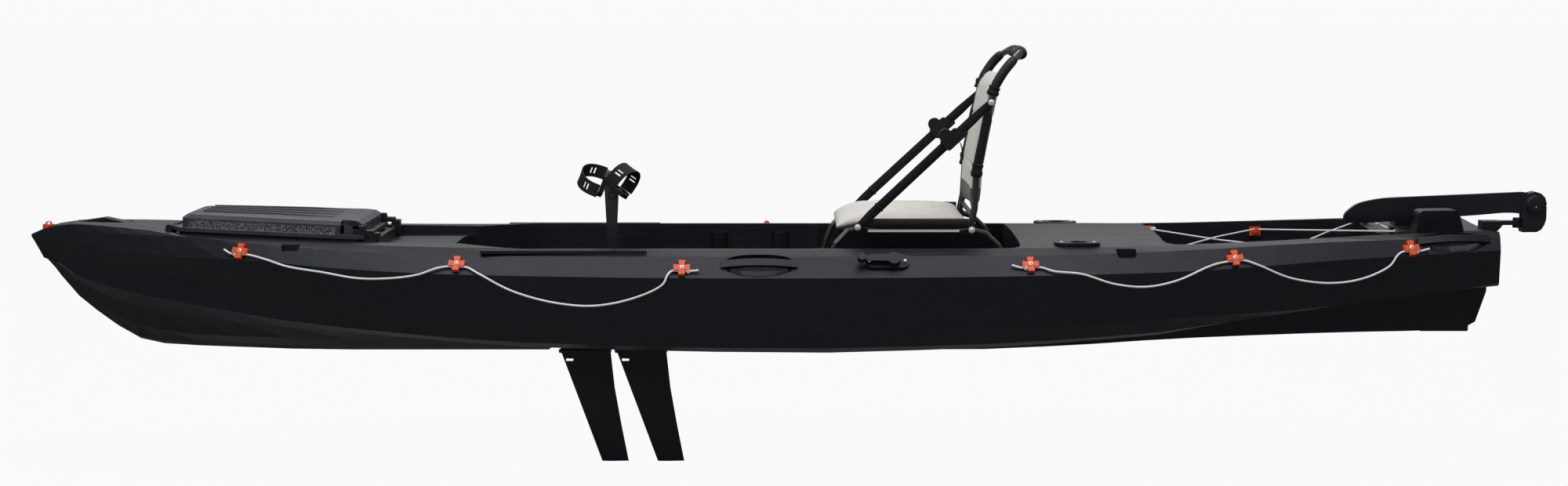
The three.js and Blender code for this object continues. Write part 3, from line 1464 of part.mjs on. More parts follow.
// Cushion of the seat: crowned top, drawn-in sides, a nose that droops in front
function seatPad() {
  const rings = [];
  const steps = 16;
  for (let i = 0; i <= steps; i += 1) {
    const u = (2 * i) / steps - 1;
    const pinch = 1 - 0.06 * (1 - Math.cos((u * Math.PI) / 2) ** 0.5);
    const half = seat_pad_half * pinch;
    const fall = Math.max(0, -u - 0.55) / 0.45;
    const base = seat_pad_base - seat_pad_nose * fall ** 1.5;
    const crown = seat_pad_crown * Math.sqrt(Math.max(0.02, 1 - u ** 4));
    const ring = [];
    for (let j = 0; j < 18; j += 1) {
      const turn = (2 * Math.PI * (j + 0.5)) / 18;
      const [c, s] = [Math.cos(turn), Math.sin(turn)];
      const across = half * Math.sign(c) * Math.abs(c) ** 0.35;
      const lift = s > 0 ? seat_pad_edge / 2 + crown * Math.abs(s) ** 0.7 * (1 - 0.25 * (across / half) ** 2)
        : seat_pad_edge / 2 * (1 - Math.abs(s) ** 0.4);
      ring.push(new THREE.Vector3(mix(seat_pad_front, seat_pad_back, i / steps), across, base + lift));
    }
    rings.push(ring);
  }
  return loft(rings);
}

// Padded back: a hollowed panel between the hoop's tubes
function backPad() {
  const rings = [];
  const steps = 14;
  for (let i = 0; i <= steps; i += 1) {
    const share = i / steps;
    const z = mix(back_pad_bottom, back_pad_top, share);
    const half = (back_half_width - back_tube_radius - running_gap) * (1 - 0.1 * (2 * share - 1) ** 8);
    const thick = back_pad_thickness * Math.sqrt(Math.max(0.05, 1 - (2 * share - 1) ** 6)) / 2;
    const ring = [];
    for (let j = 0; j < 18; j += 1) {
      const turn = (2 * Math.PI * j) / 18;
      const [c, s] = [Math.cos(turn), Math.sin(turn)];
      const across = half * Math.sign(c) * Math.abs(c) ** 0.5;
      const dip = back_pad_hollow * (1 - (across / half) ** 2);
      ring.push(new THREE.Vector3(backTubeX(z) + dip / 2 + thick * s, across, z));
    }
    rings.push(ring);
  }
  return loft(rings);
}

// Back strap: flat webbing from the front bolt up to the back's bolt, with its ratchet buckle
function backStrap(side) {
  const low_y = seat_half_width + seat_tube_radius + strap_thickness * 1.5;
  const high_y = back_half_width + back_tube_radius + strap_thickness * 1.5 + 2 * running_gap;
  const low = new THREE.Vector3(seat_front_bolt_x, side * low_y, seat_front_bolt_height);
  const high = new THREE.Vector3(back_bolt_x, side * high_y, back_bolt_height);
  const along = high.clone().sub(low);
  const length = along.length();
  along.normalize();
  const out = new THREE.Vector3(0, side, 0).cross(along).cross(along).negate().normalize();
  if (out.y * side < 0) out.negate();
  const wide = out.clone().cross(along).normalize();
  const frame = new THREE.Matrix4().makeBasis(along, wide, out).setPosition(low);
  if (frame.determinant() < 0) frame.makeBasis(along, wide.negate(), out).setPosition(low);
  const margin = strap_width / 3;
  const band = slab(rounded([
    [-margin, -strap_width / 2], [length + margin, -strap_width / 2],
    [length + margin, strap_width / 2], [-margin, strap_width / 2],
  ], strap_width / 3), -strap_thickness / 2, strap_thickness / 2, 2);
  const at = length * 0.66;
  const buckle = slab(rounded([
    [at - buckle_length / 2, -buckle_width / 2], [at + buckle_length / 2, -buckle_width / 2],
    [at + buckle_length / 2, buckle_width / 2], [at - buckle_length / 2, buckle_width / 2],
  ], buckle_width / 4), -strap_thickness / 2, buckle_thickness, 1);
  return placed(band.add(buckle), frame);
}

// Casing of the drive, with its flange on the cockpit floor and hangers for the fin axle
function driveSpine() {
  const [x0, x1] = [drive_well_front + 2 * running_gap, drive_well_back - 2 * running_gap];
  const z = cockpit_floor + running_gap;
  const core = slab(mirroredPlan([[x0, spine_half], [x1, spine_half]], spine_half / 2), spine_floor, z);
  const m = spine_flange_margin;
  const flange = slab(mirroredPlan([
    [x0 - m, spine_half + m], [x1 + m, spine_half + m],
  ], spine_half), z, z + spine_flange_thickness);
  const half = spine_hump_length / 2;
  const hump = sideways(rounded([
    [crank_x - half, z], [crank_x - half / 2, crank_height + spine_hump_radius / 2],
    [crank_x - spine_hump_radius / 2, crank_height + spine_hump_radius],
    [crank_x + spine_hump_radius / 2, crank_height + spine_hump_radius],
    [crank_x + half / 2, crank_height + spine_hump_radius / 2], [crank_x + half, z],
  ], spine_hump_radius), -spine_half, spine_half, 2);
  const bore = rod([crank_x, -hull_beam, crank_height], [crank_x, hull_beam, crank_height],
    shaft_radius + running_gap, 16);
  const stops = [-1, 0, 1].map((i) => (
    fin_front_hub + i * fin_pitch + fin_hub_length + running_gap));
  const hangers = stops.map((x) => {
    const plate = block(x, x + hanger_thickness, -fin_hub_radius, fin_hub_radius,
      fin_axis_height, spine_floor + hanger_thickness);
    const eye = rod([x, 0, fin_axis_height], [x + hanger_thickness, 0, fin_axis_height], fin_hub_radius, 10);
    return plate.add(eye);
  });
  const axle = rod([stops[0], 0, fin_axis_height], [stops[2] + hanger_thickness, 0, fin_axis_height],
    fin_axle_radius, 12);
  return joined(cutBy(joined(core, flange, hump), bore), ...hangers, axle);
}

function crankShaft() {
  return rod([crank_x, -shaft_half, crank_height], [crank_x, shaft_half, crank_height], shaft_radius, 16);
}

// A crank in its own frame: origin on the shaft, arm up, outward along y times side
function crank(side) {
  const inner = crank_inner;
  const ys = (a, b) => [side * a, side * b].sort((p, q) => p - q);
  const [h0, h1] = ys(inner, inner + crank_hub_width);
  const hub = rod([0, h0, 0], [0, h1, 0], crank_hub_radius, 12);
  const [a0, a1] = ys(inner + crank_hub_width - crank_arm_thickness, inner + crank_hub_width);
  const half = crank_arm_width / 2;
  const arm = sideways(rounded([
    [-half, 0], [half, 0], [half, crank_reach + half], [-half, crank_reach + half],
  ], half), a0, a1);
  const pin = rod([0, side * (inner + crank_hub_width), crank_reach],
    [0, side * (inner + crank_hub_width + pedal_width + 2 * pedal_gap), crank_reach], pedal_pin_radius, 12);
  const bore = rod([0, -hull_beam, 0], [0, hull_beam, 0], shaft_radius + running_gap, 16);
  return joined(hub, arm, pin).subtract(bore);
}

function pedalMiddle() {
  return crank_inner + crank_hub_width + pedal_gap + pedal_width / 2;
}

// A pedal in its own frame: origin on its pin, platform square to z
function pedal() {
  const half = pedal_length / 2;
  const wide = pedal_width / 2;
  const [z0, z1] = [pedal_rise - pedal_thickness / 2, pedal_rise + pedal_thickness / 2];
  const plate = slab(rounded([[-half, -wide], [half, -wide], [half, wide], [-half, wide]], wide / 3),
    z0, z1, 1);
  const slots = [-1, 0, 1].map((row) => {
    const x = row * pedal_length / 3.6;
    return block(x - pedal_slot / 2, x + pedal_slot / 2, -2 * wide / 3, 2 * wide / 3,
      z0 - cut_overrun, z1 + cut_overrun);
  });
  const lugs = bothSides((s) => {
    const [y0, y1] = [s * wide, s * (wide - pedal_lug_radius)].sort((a, b) => a - b);
    const ring = rod([0, y0, 0], [0, y1, 0], pedal_lug_radius, 8);
    return ring.add(block(-pedal_lug_radius, pedal_lug_radius, y0, y1, 0, pedal_rise));
  });
  const lip = block(-half, pedal_thickness / 2 - half, -wide * 0.8, wide * 0.8, z0, z1 + pedal_thickness);
  const bore = rod([0, -pedal_width, 0], [0, pedal_width, 0], pedal_pin_radius + running_gap, 12);
  return joined(cutBy(plate, ...slots), ...lugs, lip).subtract(bore);
}

// Strap that loops over the foot, from one edge of the platform to the other
function footLoop() {
  const wide = pedal_width / 2;
  const outer = [];
  const inner = [];
  const steps = 12;
  const foot = pedal_rise + pedal_thickness / 2 + running_gap;
  for (let i = 0; i <= steps; i += 1) {
    const turn = Math.PI * (i / steps);
    outer.push([wide * Math.cos(turn), foot + foot_loop_height * Math.sin(turn) ** 0.7]);
    const thin = foot_loop_thickness;
    inner.push([(wide - thin) * Math.cos(turn), foot + (foot_loop_height - thin) * Math.sin(turn) ** 0.7]);
  }
  const shape = rounded([...outer, ...inner.reverse()], 0);
  const geometry = extruded(shape, foot_loop_width, 1);
  geometry.applyMatrix4(new THREE.Matrix4().makeBasis(
    new THREE.Vector3(0, 1, 0), new THREE.Vector3(0, 0, 1), new THREE.Vector3(1, 0, 0)));
  geometry.translate(-foot_loop_width / 2, 0, 0);
  return solid(geometry);
}

const fin_hub_length = fin_pitch - hanger_thickness - 2 * running_gap;

// A fin in its own frame: x aft from the front of its hub, z up from its axle
function fin() {
  const hub_length = fin_hub_length;
  const hub = rod([0, 0, 0], [hub_length, 0, 0], fin_hub_radius, 10);
  const top = -fin_hub_radius - fin_plate_thickness;
  const neck = block(fin_hub_radius / 2, hub_length - fin_hub_radius / 2,
    -fin_axle_radius, fin_axle_radius, top, 0);
  const plate = slab(rounded([
    [0, -fin_plate_half_width], [hub_length, -fin_plate_half_width],
    [hub_length, fin_plate_half_width], [0, fin_plate_half_width],
  ], fin_plate_half_width), top - fin_plate_thickness, top, 2);
  const levels = 3;
  const rings = [];
  for (let i = 0; i <= levels; i += 1) {
    const share = i / levels;
    const chord = mix(fin_root_chord, fin_tip_chord, share ** 0.8);
    const start = fin_hub_radius / 2 + fin_rake * share;
    const half = mix(fin_root_thickness, fin_tip_thickness, share) / 2;
    const z = top - fin_plate_thickness / 2 - (fin_span - fin_plate_thickness) * share;
    const near = foil_shares.map(([u, v]) => new THREE.Vector3(start + u * chord, half * v, z));
    const far = foil_shares.slice(1).map(([u, v]) => new THREE.Vector3(start + u * chord, -half * v, z));
    rings.push([...near, ...far.reverse()]);
  }
  const bore = rod([-hull_beam, 0, 0], [hull_beam, 0, 0], fin_axle_radius + running_gap, 12);
  const window = block(fin_window_length, 2 * fin_window_length, -hull_beam, hull_beam,
    top - fin_neck_height, top - fin_neck_height + fin_window_height);
  return cutBy(joined(hub, neck, plate, loft(rings)), bore, window);
}

const part = new THREE.Group();
part.name = 'pedal_kayak';

function add(name, manifold, material, parent = part) {
  const mesh = new THREE.Mesh(surfaceOf(manifold), material);
  mesh.name = name;
  parent.add(mesh);
  return mesh;
}

function groupAt(x, y, z, tilt = 0, parent = part) {
  const group = new THREE.Group();
  group.position.set(x, y, z);
  group.rotation.y = THREE.MathUtils.degToRad(tilt);
  parent.add(group);
  return group;
}

// Hull with its wells cut and its moulded details joined
function hullBody() {
  const pockets = handle_places.flatMap(([prefix, x]) => bothSides((side) => (
    handlePocket(x, handle_band_shares[prefix], side))));
  const cockpit = footwell().add(seatBay()).subtract(joined(...cockpitRibs()));
  const cuts = [cockpit, foreStep(), driveWell(), tankWell(), ...scuppers(), ...gunwaleScoops(),
    ...paddleNotches(), hatchLanding(), hingeTrough(), bowPocket(), ...pockets,
    ...bothSides(trackPocket), ...bothSides(rodCut)];
  const heel = sideways(rounded([
    [skeg_heel_x, skeg_heel_height],
    [skeg_knuckle_x, skeg_knuckle_height],
    [half_length + transom_bow, skeg_top_height],
    [half_length + transom_bow + cut_overrun, skeg_top_height],
    [half_length + transom_bow + cut_overrun, -cut_overrun],
    [skeg_heel_x, -cut_overrun],
  ], 0), -half_beam, half_beam);
  const cut = cutBy(hullShell(), ...cuts, heel);
  const raised = joined(cut, hatchCoaming(), ...hatchCatches(), ...rudderShoulders(), ...bungeePosts());
  return largest(raised.subtract(hatchBucket()));
}

const side_names = [[-1, 'port'], [1, 'starboard']];
const hull = hullBody();
add('hull', hull, hull_plastic);
add('hatch_lid', hatchLid(), hull_plastic);
add('hatch_seal', hatchSeal(), seal_rubber);
add('hatch_hinge', bedded(hatchHinge(), hull), black_nylon);
add('bow_handle', bowHandle(hull), black_nylon);
add('bow_padeye', padeye(hull), orange_nylon);
for (const [side, name] of side_names) {
  add(`latch_${name}`, latch(side), black_nylon);
  for (const [prefix, x] of handle_places) {
    const share = handle_band_shares[prefix];
    const made = carryHandle(x, share, side);
    add(`${prefix}handle_${name}`, bedded(made, hull), black_nylon);
  }
  add(`gear_track_${name}`, gearTrack(side), black_nylon);
  add(`rod_holder_${name}`, rodHolder(side), black_nylon);
  guide_x_shares.forEach((share, i) => {
    add(`line_guide_${name}_${i + 1}`, lineGuide(i, side, hull), orange_nylon);
  });
  for (const [place, x] of [['front', hook_front_x], ['middle', hook_mid_x]]) {
    add(`bungee_hook_${place}_${name}`, bedded(bungeeHook(x, side), hull), orange_nylon);
  }
  add(`perimeter_line_front_${name}`, perimeterLine(front_line_shares, side), white_cord);
  add(`perimeter_line_rear_${name}`, perimeterLine(rear_line_shares, side), white_cord);
  add(`seat_strap_${name}`, backStrap(side), black_webbing);
}
add('bungee_cord', bungeeCord(), white_cord);
add('lever_base', leverBase(hull), black_nylon);
add('steering_lever', steeringLever(), black_nylon);
add('rudder_bracket', rudderBracket(hull), black_nylon);
add('rudder_head', rudderHead(), black_nylon);
add('rudder_blade', rudderBlade(), hull_plastic);
add('skid_plate', skidPlate(hull), black_nylon);
add('seat_base', seatBase(), black_tube);
add('seat_pad', seatPad(), cream_fabric);
add('seat_back_frame', seatBackFrame(), black_tube);
add('back_pad', backPad(), cream_fabric);
add('drive_spine', driveSpine(), black_nylon);
add('crank_shaft', crankShaft(), bare_steel);

for (const [side, name] of side_names) {
  const axis = groupAt(crank_x, 0, crank_height, -side * crank_split_degrees);
  add(`crank_${name}`, crank(side), black_tube, axis);
  const own = side < 0 ? near_pedal_degrees : far_pedal_degrees;
  const foot = groupAt(0, side * pedalMiddle(), crank_reach, own + side * crank_split_degrees, axis);
  add(`pedal_${name}`, pedal(), black_nylon, foot);
  add(`foot_strap_${name}`, footLoop(), seal_rubber, foot);
}

['front', 'rear'].forEach((name, i) => {
  const hub = groupAt(fin_front_hub + i * fin_pitch, 0, fin_axis_height);
  add(`fin_${name}`, fin(), fin_plastic, hub);
});

export default part;
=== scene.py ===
import math

import bmesh
import bpy
import numpy as np
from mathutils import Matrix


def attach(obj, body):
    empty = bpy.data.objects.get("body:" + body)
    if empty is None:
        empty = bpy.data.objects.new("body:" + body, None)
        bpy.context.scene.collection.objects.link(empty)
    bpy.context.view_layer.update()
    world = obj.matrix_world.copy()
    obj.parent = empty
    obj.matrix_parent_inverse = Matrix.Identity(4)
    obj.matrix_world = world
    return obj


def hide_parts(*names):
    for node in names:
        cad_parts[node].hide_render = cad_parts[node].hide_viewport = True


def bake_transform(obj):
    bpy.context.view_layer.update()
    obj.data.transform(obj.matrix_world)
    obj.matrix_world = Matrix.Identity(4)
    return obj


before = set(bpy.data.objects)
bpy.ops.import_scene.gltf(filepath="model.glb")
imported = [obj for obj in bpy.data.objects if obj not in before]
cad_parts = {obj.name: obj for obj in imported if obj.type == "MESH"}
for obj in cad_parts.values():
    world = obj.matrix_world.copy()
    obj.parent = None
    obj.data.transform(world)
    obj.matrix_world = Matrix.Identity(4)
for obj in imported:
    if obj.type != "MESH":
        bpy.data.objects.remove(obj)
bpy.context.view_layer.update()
scene = bpy.context.scene
scene.view_settings.view_transform = "Standard"

# Viewpoint: the eye is a little above the seat back and 6.7 m off the port side, level with the
# middle of the boat, and looks down by a few degrees.
look_down = 6.9
eye = bpy.data.objects.new("eye", bpy.data.cameras.new("eye"))
eye.location = (0.090, -6.730, 1.130)
eye.rotation_euler = (math.radians(90 - look_down), 0, 0)
eye.data.lens = 52.0
eye.data.sensor_width = 36
eye.data.clip_end = 300
scene.collection.objects.link(eye)
scene.camera = eye


# Perimeter lines: 6 mm white braid with a dark fleck, one fore and one aft on each side. Each is
# threaded through three guides, hangs in swags between them, and ends in a stopper knot.
def surface(name, grid, closed=True, capped=True, smooth=True, crease=None):
    """A mesh from a grid of points, or from a stack of grids of one size: row i and column j give
    the corner grid[..., i, j]. closed joins the last column to the first, capped closes the first
    and last rows, and crease keeps the edges sharper than that many degrees. Its UV map holds the
    distance along the rows and round the columns, in metres."""
    stack = np.asarray(grid, float)
    stack = stack.reshape(-1, *stack.shape[-3:])
    copies, rows, columns = stack.shape[:3]
    i, j = np.meshgrid(np.arange(rows - 1), np.arange(columns if closed else columns - 1),
                       indexing="ij")
    corners = [(i, j), (i, j + 1), (i + 1, j + 1), (i + 1, j)]
    one = np.stack([a * columns + b % columns for a, b in corners], -1).reshape(-1, 4)
    first = np.arange(copies)[:, None] * rows * columns
    faces = (first[..., None] + one).reshape(-1, 4).tolist()
    wrapped = np.concatenate([stack, stack[:, :, :1]], 2)
    down = np.linalg.norm(np.diff(stack, axis=1), axis=-1).mean(2)
    across = np.linalg.norm(np.diff(wrapped, axis=2), axis=-1).mean(1)
    u = np.pad(np.cumsum(down, 1), ((0, 0), (1, 0)))
    v = np.pad(np.cumsum(across, 1), ((0, 0), (1, 0)))
    flat = np.stack([np.stack([u[:, a], v[:, b]], -1) for a, b in corners], 3).reshape(-1, 2)
    if capped:
        start = first + np.arange(columns)
        faces += start[:, ::-1].tolist() + (start + (rows - 1) * columns).tolist()
        flat = np.concatenate([flat, np.zeros((2 * copies * columns, 2))])
    mesh = bpy.data.meshes.new(name)
    mesh.from_pydata(stack.reshape(-1, 3).tolist(), [], faces)
    mesh.uv_layers.new(name="cloth").data.foreach_set("uv", flat.ravel())
    if capped:
        shell = bmesh.new()
        shell.from_mesh(mesh)
        bmesh.ops.recalc_face_normals(shell, faces=shell.faces)
        shell.to_mesh(mesh)
        shell.free()
    mesh.polygons.foreach_set("use_smooth", np.full(len(mesh.polygons), smooth))
    if crease:
        mesh.set_sharp_from_angle(angle=math.radians(crease))
    made = bpy.data.objects.new(name, mesh)
    scene.collection.objects.link(made)
    return made


def sweep(name, path, profile, up=(0, 0, 1), scale=1, capped=True, smooth=True, crease=None):
    """A profile carried along a path: each profile point (s, t) lies s to the side and t above
    the path point, with the side square to the path and to up."""
    path, profile = np.asarray(path, float), np.asarray(profile, float)
    ahead = np.gradient(path, axis=0)
    ahead /= np.linalg.norm(ahead, axis=1)[:, None]
    side = np.cross(ahead, np.asarray(up, float))
    side /= np.linalg.norm(side, axis=1)[:, None]
    top = np.cross(side, ahead)
    size = np.broadcast_to(np.asarray(scale, float).reshape(-1, 1), (len(path), 1))
    offset = profile[None] * size[..., None]
    grid = path[:, None] + offset[..., :1] * side[:, None] + offset[..., 1:] * top[:, None]
    return surface(name, grid, capped=capped, smooth=smooth, crease=crease)


def circle(radius, sides, squeeze=1):
    """Points round an ellipse: radius wide to each side and squeeze times that tall."""
    turn = np.arange(sides) * 2 * np.pi / sides
    return np.stack([radius * np.cos(turn), squeeze * radius * np.sin(turn)], -1)


def spline(points, steps):
    """The centripetal Catmull-Rom curve through points, each span a cubic whose end slopes come
    from its neighbours weighted by the root of their distance; steps samples per span."""
    points = np.asarray(points, float)
    points = np.concatenate([[2 * points[0] - points[1]], points, [2 * points[-1] - points[-2]]])
    before, here, there, after = points[:-3], points[1:-2], points[2:-1], points[3:]
    enter, cross, leave = (np.sqrt(np.linalg.norm(one - other, axis=1))[:, None] for one, other in (
        (here, before), (there, here), (after, there)))
    start = ((here - before) / enter - (there - before) / (enter + cross)
             + (there - here) / cross) * cross
    end = ((there - here) / cross - (after - here) / (cross + leave)
           + (after - there) / leave) * cross
    t = (np.arange(steps) / steps)[None, :, None]
    here, there, start, end = (part[:, None] for part in (here, there, start, end))
    curve = (here + start * t + (-3 * here + 3 * there - 2 * start - end) * t ** 2
             + (2 * here - 2 * there + start + end) * t ** 3)
    return np.concatenate([curve.reshape(-1, 3), points[-2:-1]])


def ball(name, centre, radii, rings=9, sides=14):
    """An ellipsoid: rings of latitude, each a circle scaled by its cosine, from near one pole to
    near the other, where a small flat face closes it."""
    latitude = np.linspace(-1, 1, rings)[:, None] * np.radians(86)
    turn = np.arange(sides) * 2 * np.pi / sides
    unit = np.stack([np.cos(latitude) * np.cos(turn), np.cos(latitude) * np.sin(turn),
                     np.sin(latitude) * np.ones(sides)], -1)
    return surface(name, np.asarray(centre) + unit * np.asarray(radii))


class Value:
    """A socket of a material. Python's operators on it add the Math nodes."""

    def __init__(self, paint, socket):
        self.paint, self.socket = paint, socket

    def math(self, operation, first, second=0.0):
        return self.paint.node("ShaderNodeMath", {"operation": operation}, {0: first, 1: second})

    def __add__(self, other):
        return self.math("ADD", self, other)

    def __sub__(self, other):
        return self.math("SUBTRACT", self, other)

    def __rsub__(self, other):
        return self.math("SUBTRACT", other, self)

    def __mul__(self, other):
        return self.math("MULTIPLY", self, other)

    def __gt__(self, other):
        return self.math("GREATER_THAN", self, other)

    def __abs__(self):
        return self.math("ABSOLUTE", self)

    __radd__ = __add__
    __rmul__ = __mul__


class Paint:
    """A material round one Principled shader. node() adds any other node: its type, its settings,
    and the values or links of its sockets by name or number."""

    def __init__(self, name, **constants):
        self.material = bpy.data.materials.new(name)
        self.material.use_nodes = True
        self.tree = self.material.node_tree
        self.shader = self.tree.nodes["Principled BSDF"]
        self.place = self.node("ShaderNodeTexCoord", out="Object")
        self.uv = self.node("ShaderNodeTexCoord", out="UV")
        self.set(**constants)

    def plug(self, socket, value):
        """Links a Value to the socket, or puts a number or colour on the socket itself."""
        if isinstance(value, Value):
            self.tree.links.new(value.socket, socket)
        else:
            socket.default_value = value

    def node(self, kind, settings=(), values=(), out=0):
        node = self.tree.nodes.new(kind)
        for key, value in dict(settings).items():
            if key == "stops":
                for stop, (at, colour) in zip(node.color_ramp.elements, value):
                    stop.position, stop.color = at, colour
            else:
                setattr(node, key, value)
        for key, value in dict(values).items():
            self.plug(node.inputs[key], value)
        return Value(self, node.outputs[out])

    def set(self, **sockets):
        """Plugs the Principled shader's sockets, named with _ for each space."""
        for key, value in sockets.items():
            self.plug(self.shader.inputs[key.replace("_", " ")], value)

    def noise(self, size, detail=2.0, rough=0.5, place=None):
        """Cloudy noise from 0 to 1 whose lumps are about size metres across."""
        return self.node("ShaderNodeTexNoise", {}, {
            "Vector": place or self.place, "Scale": 1 / size, "Detail": detail,
            "Roughness": rough})

    def stretched(self, scale, place=None, turn=(0, 0, 0)):
        """The place on the piece with its axes stretched, for grain that runs one way."""
        return self.node("ShaderNodeMapping", {}, {
            "Vector": place or self.place, "Scale": scale, "Rotation": turn})

    def mixed(self, share, low, high):
        """Colour low where share is 0 and high where it is 1."""
        return self.node("ShaderNodeMix", {"data_type": "RGBA"}, {0: share, 6: low, 7: high}, 2)

    def bump(self, height, depth, strength=1.0, under=None):
        """A normal that follows height, from 0 to 1, over depth metres."""
        values = {"Height": height, "Distance": depth, "Strength": strength}
        if under:
            values["Normal"] = under
        return self.node("ShaderNodeBump", {}, values)

    def on(self, *things):
        """Puts the material on new pieces or on CAD nodes by name."""
        for thing in things:
            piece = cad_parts[thing] if isinstance(thing, str) else thing
            if not piece.material_slots:
                piece.data.materials.append(self.material)
            for held in piece.material_slots:
                held.material = self.material
        return self


line_radius = 0.003
front_line_route = [
    (-1.5200, -0.2590, 0.3270), (-1.5014, -0.2664, 0.3173), (-1.4744, -0.2734, 0.3163),
    (-1.4474, -0.2804, 0.3153), (-1.3910, -0.3020, 0.3040), (-1.3299, -0.3200, 0.2870),
    (-1.2249, -0.3420, 0.2730), (-1.1200, -0.3600, 0.2580), (-1.0301, -0.3760, 0.2600),
    (-0.9450, -0.3860, 0.2720), (-0.8921, -0.3820, 0.2900), (-0.8646, -0.3787, 0.2941),
    (-0.8366, -0.3807, 0.2931), (-0.8087, -0.3837, 0.2931), (-0.7670, -0.4040, 0.2750),
    (-0.6800, -0.4150, 0.2310), (-0.5601, -0.4240, 0.1980), (-0.4400, -0.4320, 0.1900),
    (-0.3199, -0.4350, 0.2160), (-0.2499, -0.4390, 0.2520), (-0.2370, -0.4300, 0.2770),
    (-0.2251, -0.4197, 0.2870), (-0.1970, -0.4197, 0.2870), (-0.1689, -0.4197, 0.2870),
    (-0.1540, -0.4210, 0.2890),
]
rear_line_route = [
    (0.7359, -0.3990, 0.3000), (0.7584, -0.4006, 0.2940), (0.7865, -0.3987, 0.2940),
    (0.8145, -0.3966, 0.2940), (0.8519, -0.4040, 0.2840), (0.9301, -0.4030, 0.2760),
    (1.0200, -0.4010, 0.2480), (1.1100, -0.3930, 0.2380), (1.2001, -0.3830, 0.2540),
    (1.3020, -0.3630, 0.2950), (1.3448, -0.3500, 0.3036), (1.3729, -0.3470, 0.3056),
    (1.4008, -0.3440, 0.3066), (1.4401, -0.3490, 0.2940), (1.5299, -0.3410, 0.2570),
    (1.6500, -0.3230, 0.2390), (1.7500, -0.3070, 0.2510), (1.8261, -0.2980, 0.2860),
    (1.8470, -0.2910, 0.3130), (1.8649, -0.2799, 0.3235), (1.8928, -0.2749, 0.3245),
    (1.9209, -0.2709, 0.3255), (1.9429, -0.2700, 0.3310),
]


def braid(name, colour, fleck, pitch):
    """Braided cord: two sets of strands wind round it in opposite ways, pitch metres apart."""
    paint = Paint(name, Roughness=0.75, Specular_IOR_Level=0.3)
    waves = []
    for turn in (-1, 1):
        lie = paint.stretched((1, turn, 1), paint.uv)
        waves.append(paint.node("ShaderNodeTexWave", {"bands_direction": "DIAGONAL"}, {
            "Vector": lie, "Scale": 0.35 / pitch, "Distortion": 0.4, "Detail": 1.0}, 1))
    weave = waves[0] * waves[1]
    soot = paint.noise(0.02, 4.0)
    paint.set(Base_Color=paint.mixed((weave > 0.78) * soot, colour, fleck),
              Normal=paint.bump(weave, 0.0008))
    return paint


white_braid = braid("white_braid", (0.96, 0.96, 0.94, 1), (0.66, 0.66, 0.68, 1), 0.002)
knot_radii = (0.0065, 0.0055, 0.0080)
tip_radii = (0.0040, 0.0034, 0.0034)
for side, flip in (("port", 1), ("starboard", -1)):
    for part, route in (("front", front_line_route), ("rear", rear_line_route)):
        path = spline(np.array(route) * (1, flip, 1), 8)
        line = sweep(f"line_{part}_{side}", path, circle(line_radius, 10))
        beads = [ball(f"line_{bead}_{part}_{side}_{end}", path[at], radii)
                 for bead, radii, fore, aft in (("knot", knot_radii, 12, -12),
                                                ("tip", tip_radii, 0, -1))
                 for end, at in (("fore", fore), ("aft", aft))]
        white_braid.on(line, *beads)
        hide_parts(f"perimeter_line_{part}_{side}")
        for piece in (line, *beads):
            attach(piece, "root")


# Bungee: one 5 mm elastic cord laced over the tank well, from a pair of pegs in front to a pair of
# pegs half way and round two deck posts aft. A stopper knot holds each of its ends.
bungee_radius = 0.0025
knot_size = (0.006, 0.005, 0.005)
front_peg = (1.221, -0.26116, 0.330)
middle_peg = (1.549, -0.22614, 0.330)
rear_post = (1.866, -0.150, 0.36922)
peg_turn = 0.0091
post_turn = 0.0101
clearance = 0.0041


def turned(centre, radius, first, last, side):
    """Points on the arc of that radius about centre, from first to last in degrees, mirrored to
    starboard where side is 1 and to port where it is -1."""
    angle = np.radians(np.linspace(first, last, 5))[:, None]
    x, y, z = centre
    return np.concatenate([x + radius * np.cos(angle), side * (-y + radius * np.sin(angle)),
                           np.full_like(angle, z)], 1)


def bungee_half(side, lift):
    """Half of the lacing: a tail, then peg, crossing, peg, crossing and post. At the crossings it
    lies lift above the line between the pegs."""
    middles = [((a[0] + b[0]) / 2, 0, (a[2] + b[2]) / 2 + lift)
               for a, b in ((front_peg, middle_peg), (middle_peg, rear_post))]
    return np.concatenate([
        [(front_peg[0] + 2 * peg_turn, -side * front_peg[1], front_peg[2])],
        turned(front_peg, peg_turn, 20, 220, side), middles[:1],
        turned(middle_peg, peg_turn, 130, 50, -side), middles[1:],
        turned(rear_post, post_turn, 140, 0, side)])


bungee_path = np.concatenate([bungee_half(1, -clearance), bungee_half(-1, clearance)[::-1]])
bungee = sweep("bungee", bungee_path, circle(bungee_radius, 10))
bungee_knots = [ball(f"bungee_knot_{end}", bungee_path[at], knot_size)
                for end, at in (("port", 0), ("starboard", -1))]
bungee_braid = braid("bungee_braid", (0.90, 0.90, 0.88, 1), (0.34, 0.34, 0.36, 1), 0.0016)
bungee_braid.on(bungee, *bungee_knots)
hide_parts("bungee_cord")
for piece in (bungee, *bungee_knots):
    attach(piece, "root")


